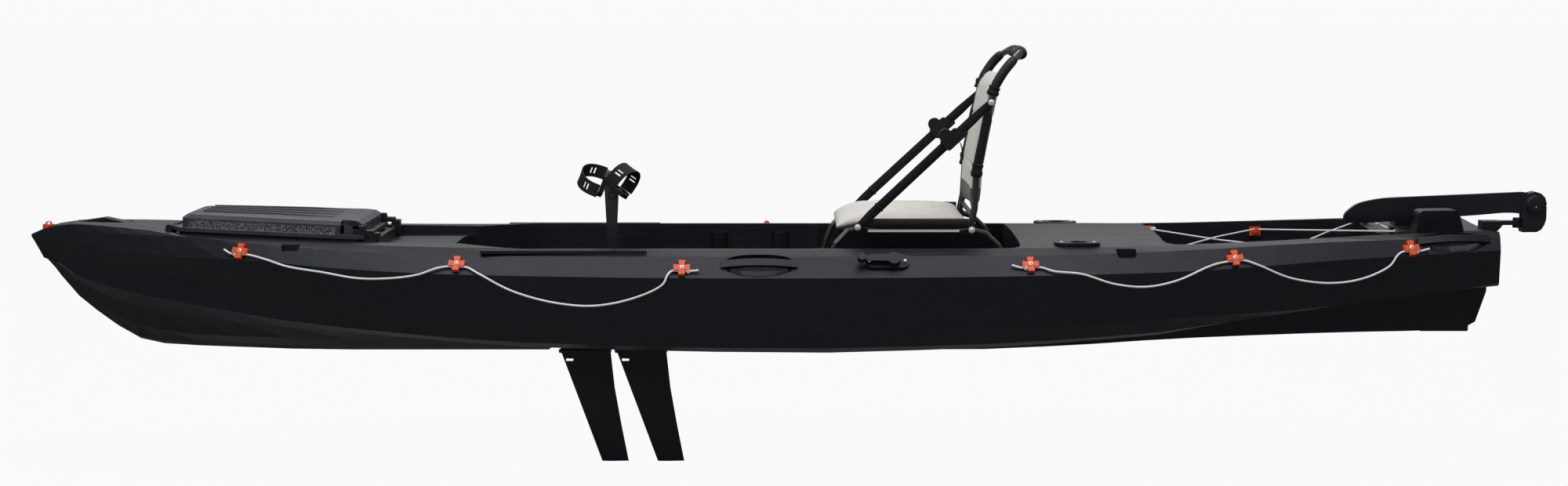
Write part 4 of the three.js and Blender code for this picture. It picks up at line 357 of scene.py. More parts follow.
# Studio: a wide white floor just under the fins that meets a white room without a seam, and three
# soft boxes: one overhead, one behind and one in front towards the bow.
floor_half, floor_height = 60, -0.36
floor_line = np.linspace(-floor_half, floor_half, 5)
floor_x, floor_y = np.meshgrid(floor_line, floor_line, indexing="ij")
paper = surface("paper_floor", np.stack([floor_x, floor_y, np.full_like(floor_x, floor_height)], -1),
                closed=False, capped=False)
paper_paint = Paint("white_paper", Base_Color=(0.16, 0.16, 0.16, 1), Roughness=0.9)
seen = paper_paint.node("ShaderNodeLightPath", out="Is Camera Ray")
mirrored = paper_paint.node("ShaderNodeLightPath", out="Is Glossy Ray")
through = paper_paint.node("ShaderNodeLightPath", out="Is Transmission Ray")
glow = paper_paint.node("ShaderNodeEmission", {}, {"Color": (1, 1, 1, 1), "Strength": 1.0})
white_share = seen * 0.95 + mirrored * 0.12 + through * 0.95
both = paper_paint.node("ShaderNodeMixShader", {}, {0: white_share})
paper_paint.tree.links.new(paper_paint.shader.outputs[0], both.socket.node.inputs[1])
paper_paint.tree.links.new(glow.socket, both.socket.node.inputs[2])
paper_paint.tree.links.new(both.socket, paper_paint.tree.nodes["Material Output"].inputs[0])
paper_paint.on(paper)

room = bpy.data.worlds.new("room")
room.use_nodes = True
room_light = room.node_tree.nodes["Background"]
room_light.inputs["Color"].default_value = (1, 1, 1, 1)
room_seen = room.node_tree.nodes.new("ShaderNodeLightPath").outputs["Is Camera Ray"]
room_level = room.node_tree.nodes.new("ShaderNodeMapRange")
room_level.inputs["To Min"].default_value = 0.20
room_level.inputs["To Max"].default_value = 0.957
room.node_tree.links.new(room_seen, room_level.inputs["Value"])
room.node_tree.links.new(room_level.outputs[0], room_light.inputs["Strength"])
scene.world = room


def soft_box(name, place, aim, wide, tall, watts):
    """A rectangular lamp at place whose face looks at aim."""
    lamp = bpy.data.objects.new(name, bpy.data.lights.new(name, "AREA"))
    lamp.data.shape = "RECTANGLE"
    lamp.data.size, lamp.data.size_y, lamp.data.energy = wide, tall, watts
    x, y, z = (a - b for a, b in zip(aim, place))
    lamp.location = place
    lamp.rotation_euler = (math.atan2(math.hypot(x, y), -z), 0, math.atan2(-x, y))
    scene.collection.objects.link(lamp)


soft_box("box_overhead", (0, -1.2, 4.5), (0, 0, 0.3), 7.0, 2.6, 230)
soft_box("box_back", (0, 4.8, 3.2), (0, 0, 0.3), 9.0, 1.6, 95)
soft_box("box_front", (-2.5, -6.5, 3.4), (0, 0, 0.3), 3.0, 2.0, 70)


# Hull and hatch lid: rotomoulded black polyethylene, 6 mm thick. The mould leaves a fine orange
# peel all over, and use leaves long faint scuffs on the sides. The lid hangs on its front hinge.
def polyethylene(name, colour, pale, rough, grain, depth, scuffs=0.5):
    """Moulded plastic: grain metres across and depth metres deep, with scuffs along x that
    lighten the colour and dull the gloss."""
    # Specular_Tint turns every reflection bluish: painted colour of a cool light, not a colour of the
    # plastic.
    paint = Paint(name, Specular_IOR_Level=0.32, Specular_Tint=(0.84, 0.88, 1.0, 1))
    peel = paint.noise(grain, 3.0, 0.6)
    sway = paint.noise(0.35, 3.0)
    drawn = paint.noise(0.03, 4.0, 0.65, paint.stretched((0.25, 1.0, 3.0)))
    worn = paint.node("ShaderNodeValToRGB", {"stops": [
        (0.52, (0, 0, 0, 1)), (0.75, (1, 1, 1, 1))]}, {"Fac": drawn}) * scuffs
    paint.set(Base_Color=paint.mixed(worn * 0.5 + peel * 0.25, colour, pale),
              Roughness=rough + (sway - 0.5) * 0.14 + worn * 0.12,
              Normal=paint.bump(peel, depth, 0.6, paint.bump(sway, 0.004, 0.25)))
    return paint


hull_black = polyethylene("hull_black", (0.0042, 0.0046, 0.0066, 1), (0.018, 0.0185, 0.023, 1),
                          0.44, 0.0040, 0.0010, 0.7)
hull_black.on("hull")


def ribbed_lid():
    """The hatch lid's plastic: painted shade that darkens the valleys between its four ribs, whose
    lanes spread from front to back (lane = y over half the spread at x, valleys at every half), and a
    band of pale pebble grain along each wall, between two heights over a deck that slopes."""
    # The lid's colours are paler than the hull's: painted light, for the brightness its top and ribs
    # show under the lamps.
    paint = polyethylene("lid_black", (0.034, 0.035, 0.043, 1), (0.085, 0.086, 0.100, 1),
                         0.46, 0.0045, 0.0012, 0.8)
    x, y, z = (paint.node("ShaderNodeSeparateXYZ", {}, {0: paint.place}, k) for k in range(3))
    widening, middle_spread, deck_slope, deck_height = 0.116, 0.287, 0.0345, 0.3178
    spread = x * widening + middle_spread
    lane = abs(y).math("DIVIDE", abs(y), spread)
    wave = lane.math("COSINE", lane * (4 * math.pi))
    valley_shade = lane.math("SMOOTH_MIN", wave * 0.5 + 0.5, 1.0) * (1 - (lane > 1.06))
    height = z + x * deck_slope - deck_height
    wall_foot, wall_top, wall_fore, wall_aft = 0.004, 0.025, -1.655, -1.215
    band = ((lane > 1.20) * (height > wall_foot) * (1 - (height > wall_top)) * (x > wall_fore)
            * (1 - (x > wall_aft)))
    pebble = paint.node("ShaderNodeTexVoronoi", {"feature": "F1"}, {
        "Vector": paint.place, "Scale": 260.0})
    grain = (1 - pebble) * band
    old = paint.shader.inputs["Base Color"].links[0].from_socket
    # Painted shade: the valleys between the ribs are darkened to near black.
    valley_shaded = paint.mixed(valley_shade * 0.85, Value(paint, old), (0.010, 0.010, 0.013, 1))
    speck = (grain > 0.56) * (paint.noise(0.03, 2.0) + 0.35)
    paint.set(Base_Color=paint.mixed(speck, valley_shaded, (0.27, 0.27, 0.31, 1)))
    rise = paint.shader.inputs["Normal"].links[0].from_socket
    paint.set(Normal=paint.bump(grain, 0.0012, 0.9, Value(paint, rise)))
    return paint


lid_black = ribbed_lid()
lid_black.on("hatch_lid")


# Black fittings: injection-moulded nylon with a fine spark-eroded grain, screwed to the hull. The
# fins and the rudder are the same nylon, smoother and a little glossier.
nylon_black = polyethylene("nylon_black", (0.0065, 0.0067, 0.0078, 1), (0.020, 0.020, 0.023, 1),
                           0.48, 0.0012, 0.0003, 0.25)
nylon_black.on("hatch_hinge", "bow_handle", "lever_base", "steering_lever", "rudder_bracket",
               "skid_plate", "drive_spine")
for side in ("port", "starboard"):
    nylon_black.on(*(f"{part}_{side}" for part in (
        "latch", "handle", "stern_handle", "gear_track", "rod_holder", "pedal")))
blade_black = polyethylene("blade_black", (0.0060, 0.0062, 0.0078, 1), (0.016, 0.016, 0.019, 1),
                           0.36, 0.003, 0.0003, 0.6)
blade_black.on("fin_front", "fin_rear")
rudder_black = polyethylene("rudder_black", (0.011, 0.012, 0.016, 1), (0.026, 0.027, 0.034, 1),
                            0.42, 0.0025, 0.0003, 0.6)
rudder_black.on("rudder_blade", "rudder_head")


# Orange fittings: line guides, bungee hooks and the bow padeye, moulded in the same nylon, which
# is coloured right through, and screwed to the gunwales.
orange = polyethylene("orange_nylon", (0.74, 0.080, 0.012, 1), (0.84, 0.13, 0.03, 1),
                      0.38, 0.0012, 0.0002, 0.4)
orange.on("bow_padeye")
for side in ("port", "starboard"):
    orange.on(*(f"line_guide_{side}_{i}" for i in range(1, 7)),
              *(f"bungee_hook_{place}_{side}" for place in ("front", "middle")))


# Guide screws: one stainless pan head with a hexagon socket in the middle of each guide, which it
# pins to the gunwale. Behind each guide a thin near-black disc is painted shadow of the recess it
# sits in.
def turnings(name, profile, places, sides=16):
    """One turned shape at many places: each (radius, height) of the profile is a circle of that
    radius, that far along the axis from the centre, for each (centre, axis) of places."""
    centre, axis = (np.array(part, float)[:, None, None] for part in zip(*places))
    axis = axis / np.linalg.norm(axis, axis=-1, keepdims=True)
    side = np.cross(axis, (0.30, 0.37, 0.88))
    side /= np.linalg.norm(side, axis=-1, keepdims=True)
    turn = (np.arange(sides) * 2 * np.pi / sides)[:, None]
    ring = side * np.cos(turn) + np.cross(axis, side) * np.sin(turn)
    radius, height = np.array(profile).T[..., None, None]
    return surface(name, centre + radius * ring + height * axis, crease=35)


def fitted(piece, paint, body):
    """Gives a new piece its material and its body."""
    paint.on(piece)
    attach(piece, body)
    return piece


bright = Paint("bright_steel", Metallic=0.45, Base_Color=(0.84, 0.84, 0.85, 1))
bright.set(Roughness=0.30 + bright.noise(0.003, 3.0) * 0.22)
# Painted shade: a dark disc sits in each screw's socket, which is the same steel lying in shadow.
socket_shade_dark = Paint("socket_shade_dark", Metallic=0.6, Base_Color=(0.03, 0.03, 0.032, 1))
socket_shade_dark.set(Roughness=0.5 + socket_shade_dark.noise(0.002, 2.0) * 0.2)
pan_head = np.array([(1.0, -0.5), (1.0, 0.02), (0.92, 0.22), (0.70, 0.36), (0.46, 0.38),
                     (0.40, 0.10), (0.02, 0.10)])
socket_shade_disc = np.array([(0.39, 0.09), (0.39, 0.14), (0.02, 0.14)])


def screws(name, radius, places, body="root"):
    """Pan-head screws of that head radius: a bright head, and a dark disc in its socket that is
    painted shade.
    """
    fitted(turnings(name, pan_head * radius, places), bright, body)
    fitted(turnings(f"{name}_sockets", socket_shade_disc * radius, places, 6), socket_shade_dark, body)


guide_places = [
    ((-1.4720, -0.2644, 0.3214), (-0.197, -0.8326, 0.5177)),
    ((-0.8359, -0.3713, 0.2976), (-0.070, -0.7644, 0.6409)),
    ((-0.1974, -0.4097, 0.2909), (-0.0084, -0.7753, 0.6316)),
    ((0.7854, -0.3887, 0.2978), (0.0444, -0.7759, 0.6293)),
    ((1.3716, -0.3378, 0.3102), (0.068, -0.8239, 0.5626)),
    ((1.8915, -0.2662, 0.3299), (0.1036, -0.8233, 0.5581)),
]
guide_height, guide_screw_radius = 0.0122, 0.0064
# Painted shadow: a thin near-black disc on the hull behind each guide, for the shade in its recess.
recess_shadow_profile = np.array([(0.0225, -0.001), (0.0225, 0.0006), (0.0215, 0.0010), (0.0002, 0.0010)])
recess_shadow_paint = Paint("recess_shadow_paint", Base_Color=(0.002, 0.002, 0.0025, 1), Specular_IOR_Level=0.1)
recess_shadow_paint.set(Roughness=0.7 + recess_shadow_paint.noise(0.004, 2.0) * 0.2)
for side, flip in (("port", 1), ("starboard", -1)):
    mirror = np.array((1, flip, 1))
    screws(f"guide_screws_{side}", guide_screw_radius, [
        ((np.array(at) + guide_height * np.array(out)) * mirror, np.array(out) * mirror)
        for at, out in guide_places])
    fitted(turnings(f"guide_recess_shadows_{side}", recess_shadow_profile, [
        (np.array(at) * mirror, np.array(out) * mirror) for at, out in guide_places], 32),
        recess_shadow_paint, "root")


# Deck screws: stainless pan heads, two through the flange of each rod holder and two through the
# base of the steering lever.
rod_screw_radius, lever_screw_radius = 0.0050, 0.0042
lever_base_out = (0, -0.80, 0.60)
for side, port in (("port", -1), ("starboard", 1)):
    screws(f"rod_holder_screws_{side}", rod_screw_radius, [
        ((0.934 + reach, port * 0.270, 0.3513), (0, 0.01, 1)) for reach in (-0.047, 0.047)])
screws("lever_base_screws", lever_screw_radius, [((0.331, -0.4150, 0.3160), lever_base_out),
                                                 ((0.431, -0.4105, 0.3160), lever_base_out)])


# Line keeper: a low orange nylon eyelet on a flat foot, fixed to the far gunwale ahead of the
# seat. An arched bar over the foot leaves room for a thin line.
def slab(name, outline, origin, right, up, thick, bevel=0.0012):
    """A flat plate with broken edges: each (s, t) of the outline lies s along right and t along
    up from the origin; the four rows step through the thickness, the outer two drawn in."""
    right, up = np.asarray(right, float), np.asarray(up, float)
    deep = np.cross(right, up)
    outline = np.asarray(outline, float)
    middle = outline.mean(0)
    reach = np.linalg.norm(outline - middle, axis=1, keepdims=True)
    drawn_in = middle + (outline - middle) * (1 - bevel / reach)
    rows = [drawn_in, outline, outline, drawn_in]
    depths = np.array([-0.5, -0.5, 0.5, 0.5]) * thick + np.array([0, 1, -1, 0]) * bevel
    grid = np.stack([np.asarray(origin) + flat[:, :1] * right + flat[:, 1:] * up + depth * deep
                     for flat, depth in zip(rows, depths)])
    return surface(name, grid, crease=35)


def rounded_box(wide, tall, radius, steps=5):
    """Outline of a rectangle with quarter-circle corners, round its middle."""
    turn = np.radians(np.linspace(0, 90, steps))
    corner = np.stack([np.cos(turn), np.sin(turn)], -1) * radius
    reach = np.array((wide / 2 - radius, tall / 2 - radius))
    quarter_turns = (((1, 0), (1, 1)), ((0, 1), (-1, 1)), ((-1, 0), (-1, -1)), ((0, -1), (1, -1)))
    return np.concatenate([
        np.stack([corner[:, 0] * cosine - corner[:, 1] * sine,
                  corner[:, 0] * sine + corner[:, 1] * cosine], -1) + reach * signs
        for (cosine, sine), signs in quarter_turns])


keeper_place = np.array((0.0357, 0.3600, 0.3320))
keeper_ahead, keeper_aside, keeper_out = np.array([(1, 0, 0), (0, 0.957, -0.288), (0, 0.288, 0.957)])
keeper = slab("line_keeper", rounded_box(0.026, 0.014, 0.005), keeper_place, keeper_ahead,
              keeper_aside, 0.004)
fitted(keeper, orange, "root")
turn = np.radians(np.linspace(0, 180, 17))[:, None]
eye_half, eye_rise, eye_bar = 0.0058, 0.0072, 0.0038
eye_path = (keeper_place + eye_half * np.cos(turn) * keeper_ahead
            + (0.001 + eye_rise * np.sin(turn)) * keeper_out)
fitted(sweep("line_keeper_eye", eye_path, circle(eye_bar, 12), up=keeper_aside), orange, "root")


# Rudder pivot: a domed moulded cap over the pivot bolt on each cheek of the rudder's head, held
# by a small pin.
cap_turned = np.array([(0.0290, -0.0015), (0.0290, 0.0008), (0.0278, 0.0016), (0.0268, 0.0016),
                       (0.0264, 0.0050), (0.0252, 0.0070), (0.0222, 0.0086), (0.0160, 0.0097),
                       (0.0080, 0.0102), (0.0002, 0.0104)])
cap_pin_radius = 0.0020
caps, pins = ([(place * np.array((1, port, 1)), (0, port, 0)) for port in (-1, 1)]
              for place in ((2.3270, 0.0195, 0.4350), (2.3275, 0.0299, 0.4262)))
fitted(turnings("rudder_caps", cap_turned, caps, 32), rudder_black, "rudder_yoke")
screws("rudder_cap_pins", cap_pin_radius, pins, "rudder_yoke")


# Hatch seal: a ring of black foam rubber that lies on the hull's rim under the lid. The latches pull
# the lid down on it.
rubber = polyethylene("rubber", (0.009, 0.009, 0.009, 1), (0.02, 0.02, 0.02, 1),
                      0.62, 0.002, 0.0003, 0.2)
rubber.on("hatch_seal")


# Foot straps: moulded rubber ladder straps, arched over each pedal and hooked to its sides, with
# pairs of slots for the length to be set.
def flat_section(width, thickness, bevel=0.0008):
    """Corners of a flat band with its edges broken, counter-clockwise."""
    wide, high = width / 2, thickness / 2
    in_wide, in_high = wide - bevel, high - bevel
    return np.array([(in_wide, -high), (wide, -in_high), (wide, in_high), (in_wide, high), (0, high),
                     (-in_wide, high), (-wide, in_high), (-wide, -in_high), (-in_wide, -high),
                     (0, -high)])


def cut_out(piece, cutter):
    """Takes the cutter's shape out of a piece and throws the cutter away."""
    bite = piece.modifiers.new("bite", "BOOLEAN")
    bite.operation, bite.solver, bite.object = "DIFFERENCE", "EXACT", cutter
    ready = piece.evaluated_get(bpy.context.evaluated_depsgraph_get())
    mesh = bpy.data.meshes.new_from_object(ready)
    piece.modifiers.clear()
    piece.data = mesh
    bpy.data.objects.remove(cutter)
    return piece


def box_grid(centre, right, up, half):
    """A box as a grid of two rows: its corners lie half along right, up and their cross."""
    centre, right, up = (np.asarray(v, float) for v in (centre, right, up))
    deep = np.cross(right, up)
    corners = np.array([(-1, -1), (1, -1), (1, 1), (-1, 1)])
    flat = (corners[:, :1] * half[0] * right + corners[:, 1:] * half[1] * up)
    return centre + np.array([-1, 1])[:, None, None] * half[2] * deep + flat


pedal_places = {"port": ((-0.4105, -0.133, 0.4757), 36), "starboard": ((-0.4395, 0.133, 0.4757), -69)}
arch_half, arch_foot, arch_rise, arch_skew = 0.0435, 0.0255, 0.0690, 0.024
slot_steps, slot_half = (6, 9, 39, 42), (0.0090, 0.0024, 0.006)
for side, (origin, tilt) in pedal_places.items():
    cosine, sine = math.cos(math.radians(tilt)), math.sin(math.radians(tilt))
    ahead, lift = np.array((cosine, 0, -sine)), np.array((sine, 0, cosine))
    turn = np.linspace(0, np.pi, 49)[:, None]
    arch = (np.array(origin) + arch_skew * np.cos(turn) * ahead
            + arch_half * np.cos(turn) * (0, 1, 0)
            + (arch_foot + arch_rise * np.sin(turn) ** 0.7) * lift)
    strap = sweep(f"ladder_strap_{side}", arch, flat_section(0.040, 0.0035)[:, ::-1], up=ahead,
                  crease=35)
    cuts = []
    for step in slot_steps:
        along = arch[step + 1] - arch[step - 1]
        along /= np.linalg.norm(along)
        cuts.append(box_grid(arch[step], ahead, along, slot_half))
    cut_out(strap, surface("slots", np.stack(cuts), smooth=False))
    fitted(strap, rubber, f"{side}_pedal")
    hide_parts(f"foot_strap_{side}")


# Crank shaft: a stainless steel bar, turned and left bright, that both cranks swing on inside the
# drive's casing.
steel = Paint("steel", Metallic=1.0, Base_Color=(0.55, 0.55, 0.56, 1))
steel.set(Roughness=0.25 + steel.noise(0.002, 3.0, 0.5, steel.stretched((1, 0.05, 1))) * 0.2)
steel.on("crank_shaft")


# Seat frame and cranks: bent aluminium tube and forged arms, anodised black with a soft gloss. The
# base stands in the hull, and the back hoop is bolted to it.
tube_black = Paint("tube_black", Specular_IOR_Level=0.6, Coat_Weight=0.25, Coat_Roughness=0.2)
drawn = tube_black.noise(0.004, 3.0, 0.6, tube_black.stretched((1, 1, 0.15)))
tube_black.set(Base_Color=tube_black.mixed(drawn, (0.010, 0.010, 0.011, 1),
                                           (0.022, 0.022, 0.024, 1)),
               Roughness=0.26 + drawn * 0.14)
tube_black.on("seat_base", "seat_back_frame", "crank_port", "crank_starboard")


# Seat pad: cream polyester over foam, one crowned cushion whose nose droops over the frame. It is
# sewn along four lines and lies on the base's two side tubes.
def plumped(form, voxel, pressure, cap, floor=None):
    """Swells a closed form as air in a bag would: remeshed to even cells, given cloth under
    pressure for 20 frames, with no point further than cap from where it began, nor outside
    floor, a function that returns the points moved off what they would go through."""
    even = form.modifiers.new("even", "REMESH")
    even.mode, even.voxel_size, even.use_smooth_shade = "VOXEL", voxel, True
    ready = form.evaluated_get(bpy.context.evaluated_depsgraph_get())
    mesh = bpy.data.meshes.new_from_object(ready)
    form.modifiers.clear()
    form.data = mesh
    start = np.empty(len(mesh.vertices) * 3)
    mesh.vertices.foreach_get("co", start)
    start = start.reshape(-1, 3)
    done = start
    cloth = form.modifiers.new("swell", "CLOTH")
    cloth.settings.use_pressure = True
    cloth.settings.uniform_pressure_force = pressure
    cloth.settings.effector_weights.gravity = 0
    for moment in range(1, 21):
        scene.frame_set(moment)
    swollen = form.evaluated_get(bpy.context.evaluated_depsgraph_get()).to_mesh()
    end = np.empty(len(mesh.vertices) * 3)
    swollen.vertices.foreach_get("co", end)
    move = end.reshape(-1, 3) - start
    far = np.linalg.norm(move, axis=1)[:, None]
    done = start + move * np.minimum(1, cap / np.maximum(far, 1e-9))
    form.modifiers.clear()
    scene.frame_set(1)
    if floor is not None:
        done = floor(done)
    mesh.vertices.foreach_set("co", done.ravel())
    mesh.update()
    return form


def grooved(form, depth, width, distance):
    """Sinks sewn channels: each point goes in along its normal by depth times a bell curve of
    its distance from the nearest seam."""
    count = len(form.data.vertices)
    at, out = np.empty(count * 3), np.empty(count * 3)
    form.data.vertices.foreach_get("co", at)
    form.data.vertices.foreach_get("normal", out)
    at, out = at.reshape(-1, 3), out.reshape(-1, 3)
    sunk = depth * np.exp(-(distance(at) / width) ** 2)
    form.data.vertices.foreach_set("co", (at - out * sunk[:, None]).ravel())
    form.data.update()
    finer = form.modifiers.new("finer", "SUBSURF")
    finer.levels = finer.render_levels = 1


seat_middle, seat_reach, seat_half, seat_edge = 0.431, 0.192, 0.196, 0.012
seat_foot, carrier_top, nose_drop, nose_power = 0.3895, 0.3885, 0.019, 1.5


def seat_form():
    """Rows go aft, columns round: a squared ellipse in section, flat below and crowned above,
    narrower at both ends, with its front dropped by a power of the distance to the nose."""
    aft = np.linspace(-1, 1, 41)[:, None]
    turn = (np.arange(48)[None] + 0.5) * 2 * np.pi / 48
    cosine, sine = np.cos(turn), np.sin(turn)
    half = seat_half * (1 - 0.06 * (1 - np.sqrt(np.abs(np.cos(aft * np.pi / 2)))))
    base = seat_foot - nose_drop * (np.maximum(0, -aft - 0.55) / 0.45) ** nose_power
    crown = 0.027 * np.sqrt(np.maximum(0.02, 1 - aft ** 4))
    across = half * np.sign(cosine) * np.abs(cosine) ** 0.35
    above = seat_edge + crown * np.abs(sine) ** 0.7 * (1 - 0.25 * (across / half) ** 2)
    below = seat_edge * (1 - np.abs(sine) ** 0.4)
    lift = np.where(sine > 0, above, below)
    return np.stack(np.broadcast_arrays(seat_middle + seat_reach * aft, across, base + lift), -1)


def above_carriers(points):
    """Keeps the cushion off the two tubes that carry it, which droop towards the nose by a power
    of the distance from their bend."""
    ahead_of_bend = np.maximum(0, (0.331 - points[:, 0]) / 0.0887)
    low = carrier_top - nose_drop * ahead_of_bend ** nose_power
    return np.stack([points[:, 0], points[:, 1], np.maximum(points[:, 2], low)], 1)


def seat_seams(points):
    """Distance to the sewn lines on the top: two that run fore and aft and two slanted to the
    nose. Below the top it is a metre, too far to sink anything."""
    x, y = points[:, 0], np.abs(points[:, 1])
    long_seam = np.abs(y - 0.105 - 0.10 * (x - 0.43))
    nose_seam = np.abs(x - 0.315 - 0.25 * y)
    return np.where(points[:, 2] > 0.405, np.minimum(long_seam, nose_seam), 1.0)


def woven(name, colour, dark, pitch, sheen=0.3, foot=None):
    """Plain weave: threads over and under each other, pitch metres apart, by Object place, with
    dust in large soft patches. Below the height foot the cloth is black."""
    paint = Paint(name, Roughness=0.85, Specular_IOR_Level=0.2, Sheen_Weight=sheen,
                  Sheen_Roughness=0.5)
    waves = [paint.node("ShaderNodeTexWave", {"bands_direction": way}, {
        "Vector": paint.place, "Scale": 0.314 / pitch, "Distortion": 0.6, "Detail": 1.0,
        "Detail Scale": 2.0}, 1) for way in ("X", "Y", "Z")]
    weave = (waves[0] + waves[1] + waves[2]) * 0.34
    patches = paint.noise(0.09, 5.0, 0.6)
    tone = weave * 0.45 + patches * 0.55
    cloth = paint.mixed(tone, dark, colour)
    if foot:
        height = paint.node("ShaderNodeSeparateXYZ", {}, {0: paint.place}, 2)
        cloth = paint.mixed(height > foot, (0.006, 0.006, 0.007, 1), cloth)
    paint.set(Base_Color=cloth,
              Normal=paint.bump(weave, 0.0005, 0.8, paint.bump(patches, 0.002, 0.3)))
    return paint


cream_light, cream_shade = (0.74, 0.72, 0.68, 1), (0.52, 0.50, 0.46, 1)
cream_pitch, pad_cell, pad_pressure, seam_depth, seam_width = 0.0016, 0.006, 3.0, 0.004, 0.004
cream = woven("cream_cloth", cream_light, cream_shade, cream_pitch)
seat_cushion = plumped(surface("seat_cushion", seat_form()), pad_cell, pad_pressure, 0.006,
                       above_carriers)
grooved(seat_cushion, seam_depth, seam_width, seat_seams)
cream.on(seat_cushion)
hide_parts("seat_pad")
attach(seat_cushion, "root")


# Back pad: the same cream cloth over foam, hollowed for the back and sewn along four lines, with a
# black foot. Sleeves hold it between the hoop's tubes.
hoop_z = np.array([0.394, 0.444, 0.544, 0.629, 0.750, 0.790, 0.835, 0.865, 0.885, 0.888])
hoop_x = np.array([0.631, 0.641, 0.646, 0.661, 0.685, 0.695, 0.720, 0.745, 0.770, 0.775])
hoop_y = np.array([0.214, 0.214, 0.214, 0.214, 0.214, 0.214, 0.214, 0.204, 0.174, 0.124])
back_foot, back_rise, back_half, back_thick, back_bow = 0.427, 0.405, 0.2015, 0.0115, 0.011
inner_half, black_foot_top = 0.2033, 0.497


def back_form():
    """Rows go up, columns round: a squared ellipse in plan, thinner at both ends, bowed aft in
    the middle, and standing along the hoop's tube."""
    share = np.linspace(0, 1, 45)[:, None]
    z = back_foot + share * back_rise
    turn = (np.arange(48)[None] + 0.5) * 2 * np.pi / 48
    cosine, sine = np.cos(turn), np.sin(turn)
    half = back_half * (1 - 0.1 * (2 * share - 1) ** 8)
    thick = back_thick * np.sqrt(np.maximum(0.05, 1 - (2 * share - 1) ** 6))
    across = half * np.sign(cosine) * np.sqrt(np.abs(cosine))
    dip = back_bow * (1 - (across / half) ** 2)
    x = np.interp(z, hoop_z, hoop_x) + dip + thick * sine
    return np.stack(np.broadcast_arrays(x, across, z), -1)


def back_seams(points):
    """Distance to the sewn lines: two across the pad and two up it."""
    upright = np.abs(np.abs(points[:, 1]) - 0.125)
    level = np.minimum(np.abs(points[:, 2] - 0.56), np.abs(points[:, 2] - 0.70))
    return np.minimum(upright, level)


def inside_hoop(points):
    """Keeps the pad between the tubes."""
    across = np.clip(points[:, 1], -inner_half, inner_half)
    return np.stack([points[:, 0], across, points[:, 2]], 1)


cream_back = woven("cream_back", cream_light, cream_shade, cream_pitch, foot=black_foot_top)
back_cushion = plumped(surface("back_cushion", back_form()), pad_cell, pad_pressure, 0.007,
                       inside_hoop)
grooved(back_cushion, seam_depth, seam_width, back_seams)
cream_back.on(back_cushion)
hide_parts("back_pad")
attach(back_cushion, "seat_back")


# Seat straps: 27 mm nylon webbing, narrowed to an eye at each bolt and pulled tight by a ratchet
# buckle. A doubled length runs to the buckle, and its loose tail hangs behind.
def webbing(name, colour, pale, rib):
    """Narrow webbing: ribs rib metres apart one way and cords three times as far apart the other,
    by its UV map."""
    paint = Paint(name, Roughness=0.78, Specular_IOR_Level=0.2)
    ribs = paint.node("ShaderNodeTexWave", {"bands_direction": "X"}, {
        "Vector": paint.uv, "Scale": 0.314 / rib, "Distortion": 0.3}, 1)
    cords = paint.node("ShaderNodeTexWave", {"bands_direction": "Y"}, {
        "Vector": paint.uv, "Scale": 0.314 / (3 * rib)}, 1)
    weave = ribs * 0.6 + cords * 0.4
    paint.set(Base_Color=paint.mixed(weave * 0.8 + paint.noise(0.05) * 0.3, colour, pale),
              Normal=paint.bump(weave, 0.0007))
    return paint


strap_black = webbing("strap_black", (0.0045, 0.0045, 0.0055, 1), (0.016, 0.016, 0.019, 1), 0.0022)
strap_low, strap_high = np.array([(0.302, 0.2535, 0.392), (0.685, 0.2290, 0.750)])
tail_points = [(0.588, 0, 0.642), (0.597, 0, 0.632), (0.601, 0, 0.618), (0.603, 0, 0.602),
               (0.604, 0, 0.586)]
webbing_section, layer_section = flat_section(0.027, 0.003), flat_section(0.025, 0.0018)
loop_section, tail_section = flat_section(0.031, 0.0075), flat_section(0.024, 0.0022)[:, ::-1]
ratchet_outline, release_outline = rounded_box(0.064, 0.040, 0.010), rounded_box(0.030, 0.012, 0.004)
cam_outline = circle(0.0195, 24)
ratchet_thick, cam_thick, release_thick = 0.020, 0.015, 0.024
for side, port in (("port", -1), ("starboard", 1)):
    low, high = strap_low * (1, port, 1), strap_high * (1, port, 1)
    span = high - low
    ahead = span / np.linalg.norm(span)
    out = np.array((0, port, 0))
    square = np.array((-ahead[2], 0, ahead[0]))
    share = np.linspace(-0.017, 1.017, 60)[:, None]
    taper = np.interp(share[:, 0], [-0.017, 0.10, 0.86, 1.017], [0.62, 1.0, 1.0, 0.72])
    strap = sweep(f"strap_{side}", low + share * span, webbing_section, up=out, scale=taper)
    layer_share = np.linspace(0.16, 0.70, 24)[:, None]
    layer = sweep(f"strap_layer_{side}", low + layer_share * span + 0.0026 * out
                  + 0.0015 * square, layer_section, up=out)
    middle = low + 0.705 * span + 0.003 * out
    body = slab(f"ratchet_{side}", ratchet_outline, middle, ahead, square, ratchet_thick)
    cam = slab(f"ratchet_cam_{side}", cam_outline, middle - 0.006 * ahead + 0.021 * square, ahead,
               square, cam_thick)
    release = slab(f"ratchet_release_{side}", release_outline,
                   middle + 0.030 * ahead - 0.014 * square, ahead, square, release_thick)
    loop_share = np.array([0.155, 0.165])[:, None]
    loop = sweep(f"strap_loop_{side}", low + loop_share * span, loop_section, up=out)
    tail_path = spline(np.array(tail_points) + (0, port * 0.238, 0), 5)
    tail = sweep(f"strap_tail_{side}", tail_path, tail_section, up=(0, 1, 0))
    strap_black.on(strap, layer, tail)
    nylon_black.on(body, cam, release, loop)
    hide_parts(f"seat_strap_{side}")
    for piece in (strap, layer, body, cam, release, loop, tail):
        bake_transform(piece)
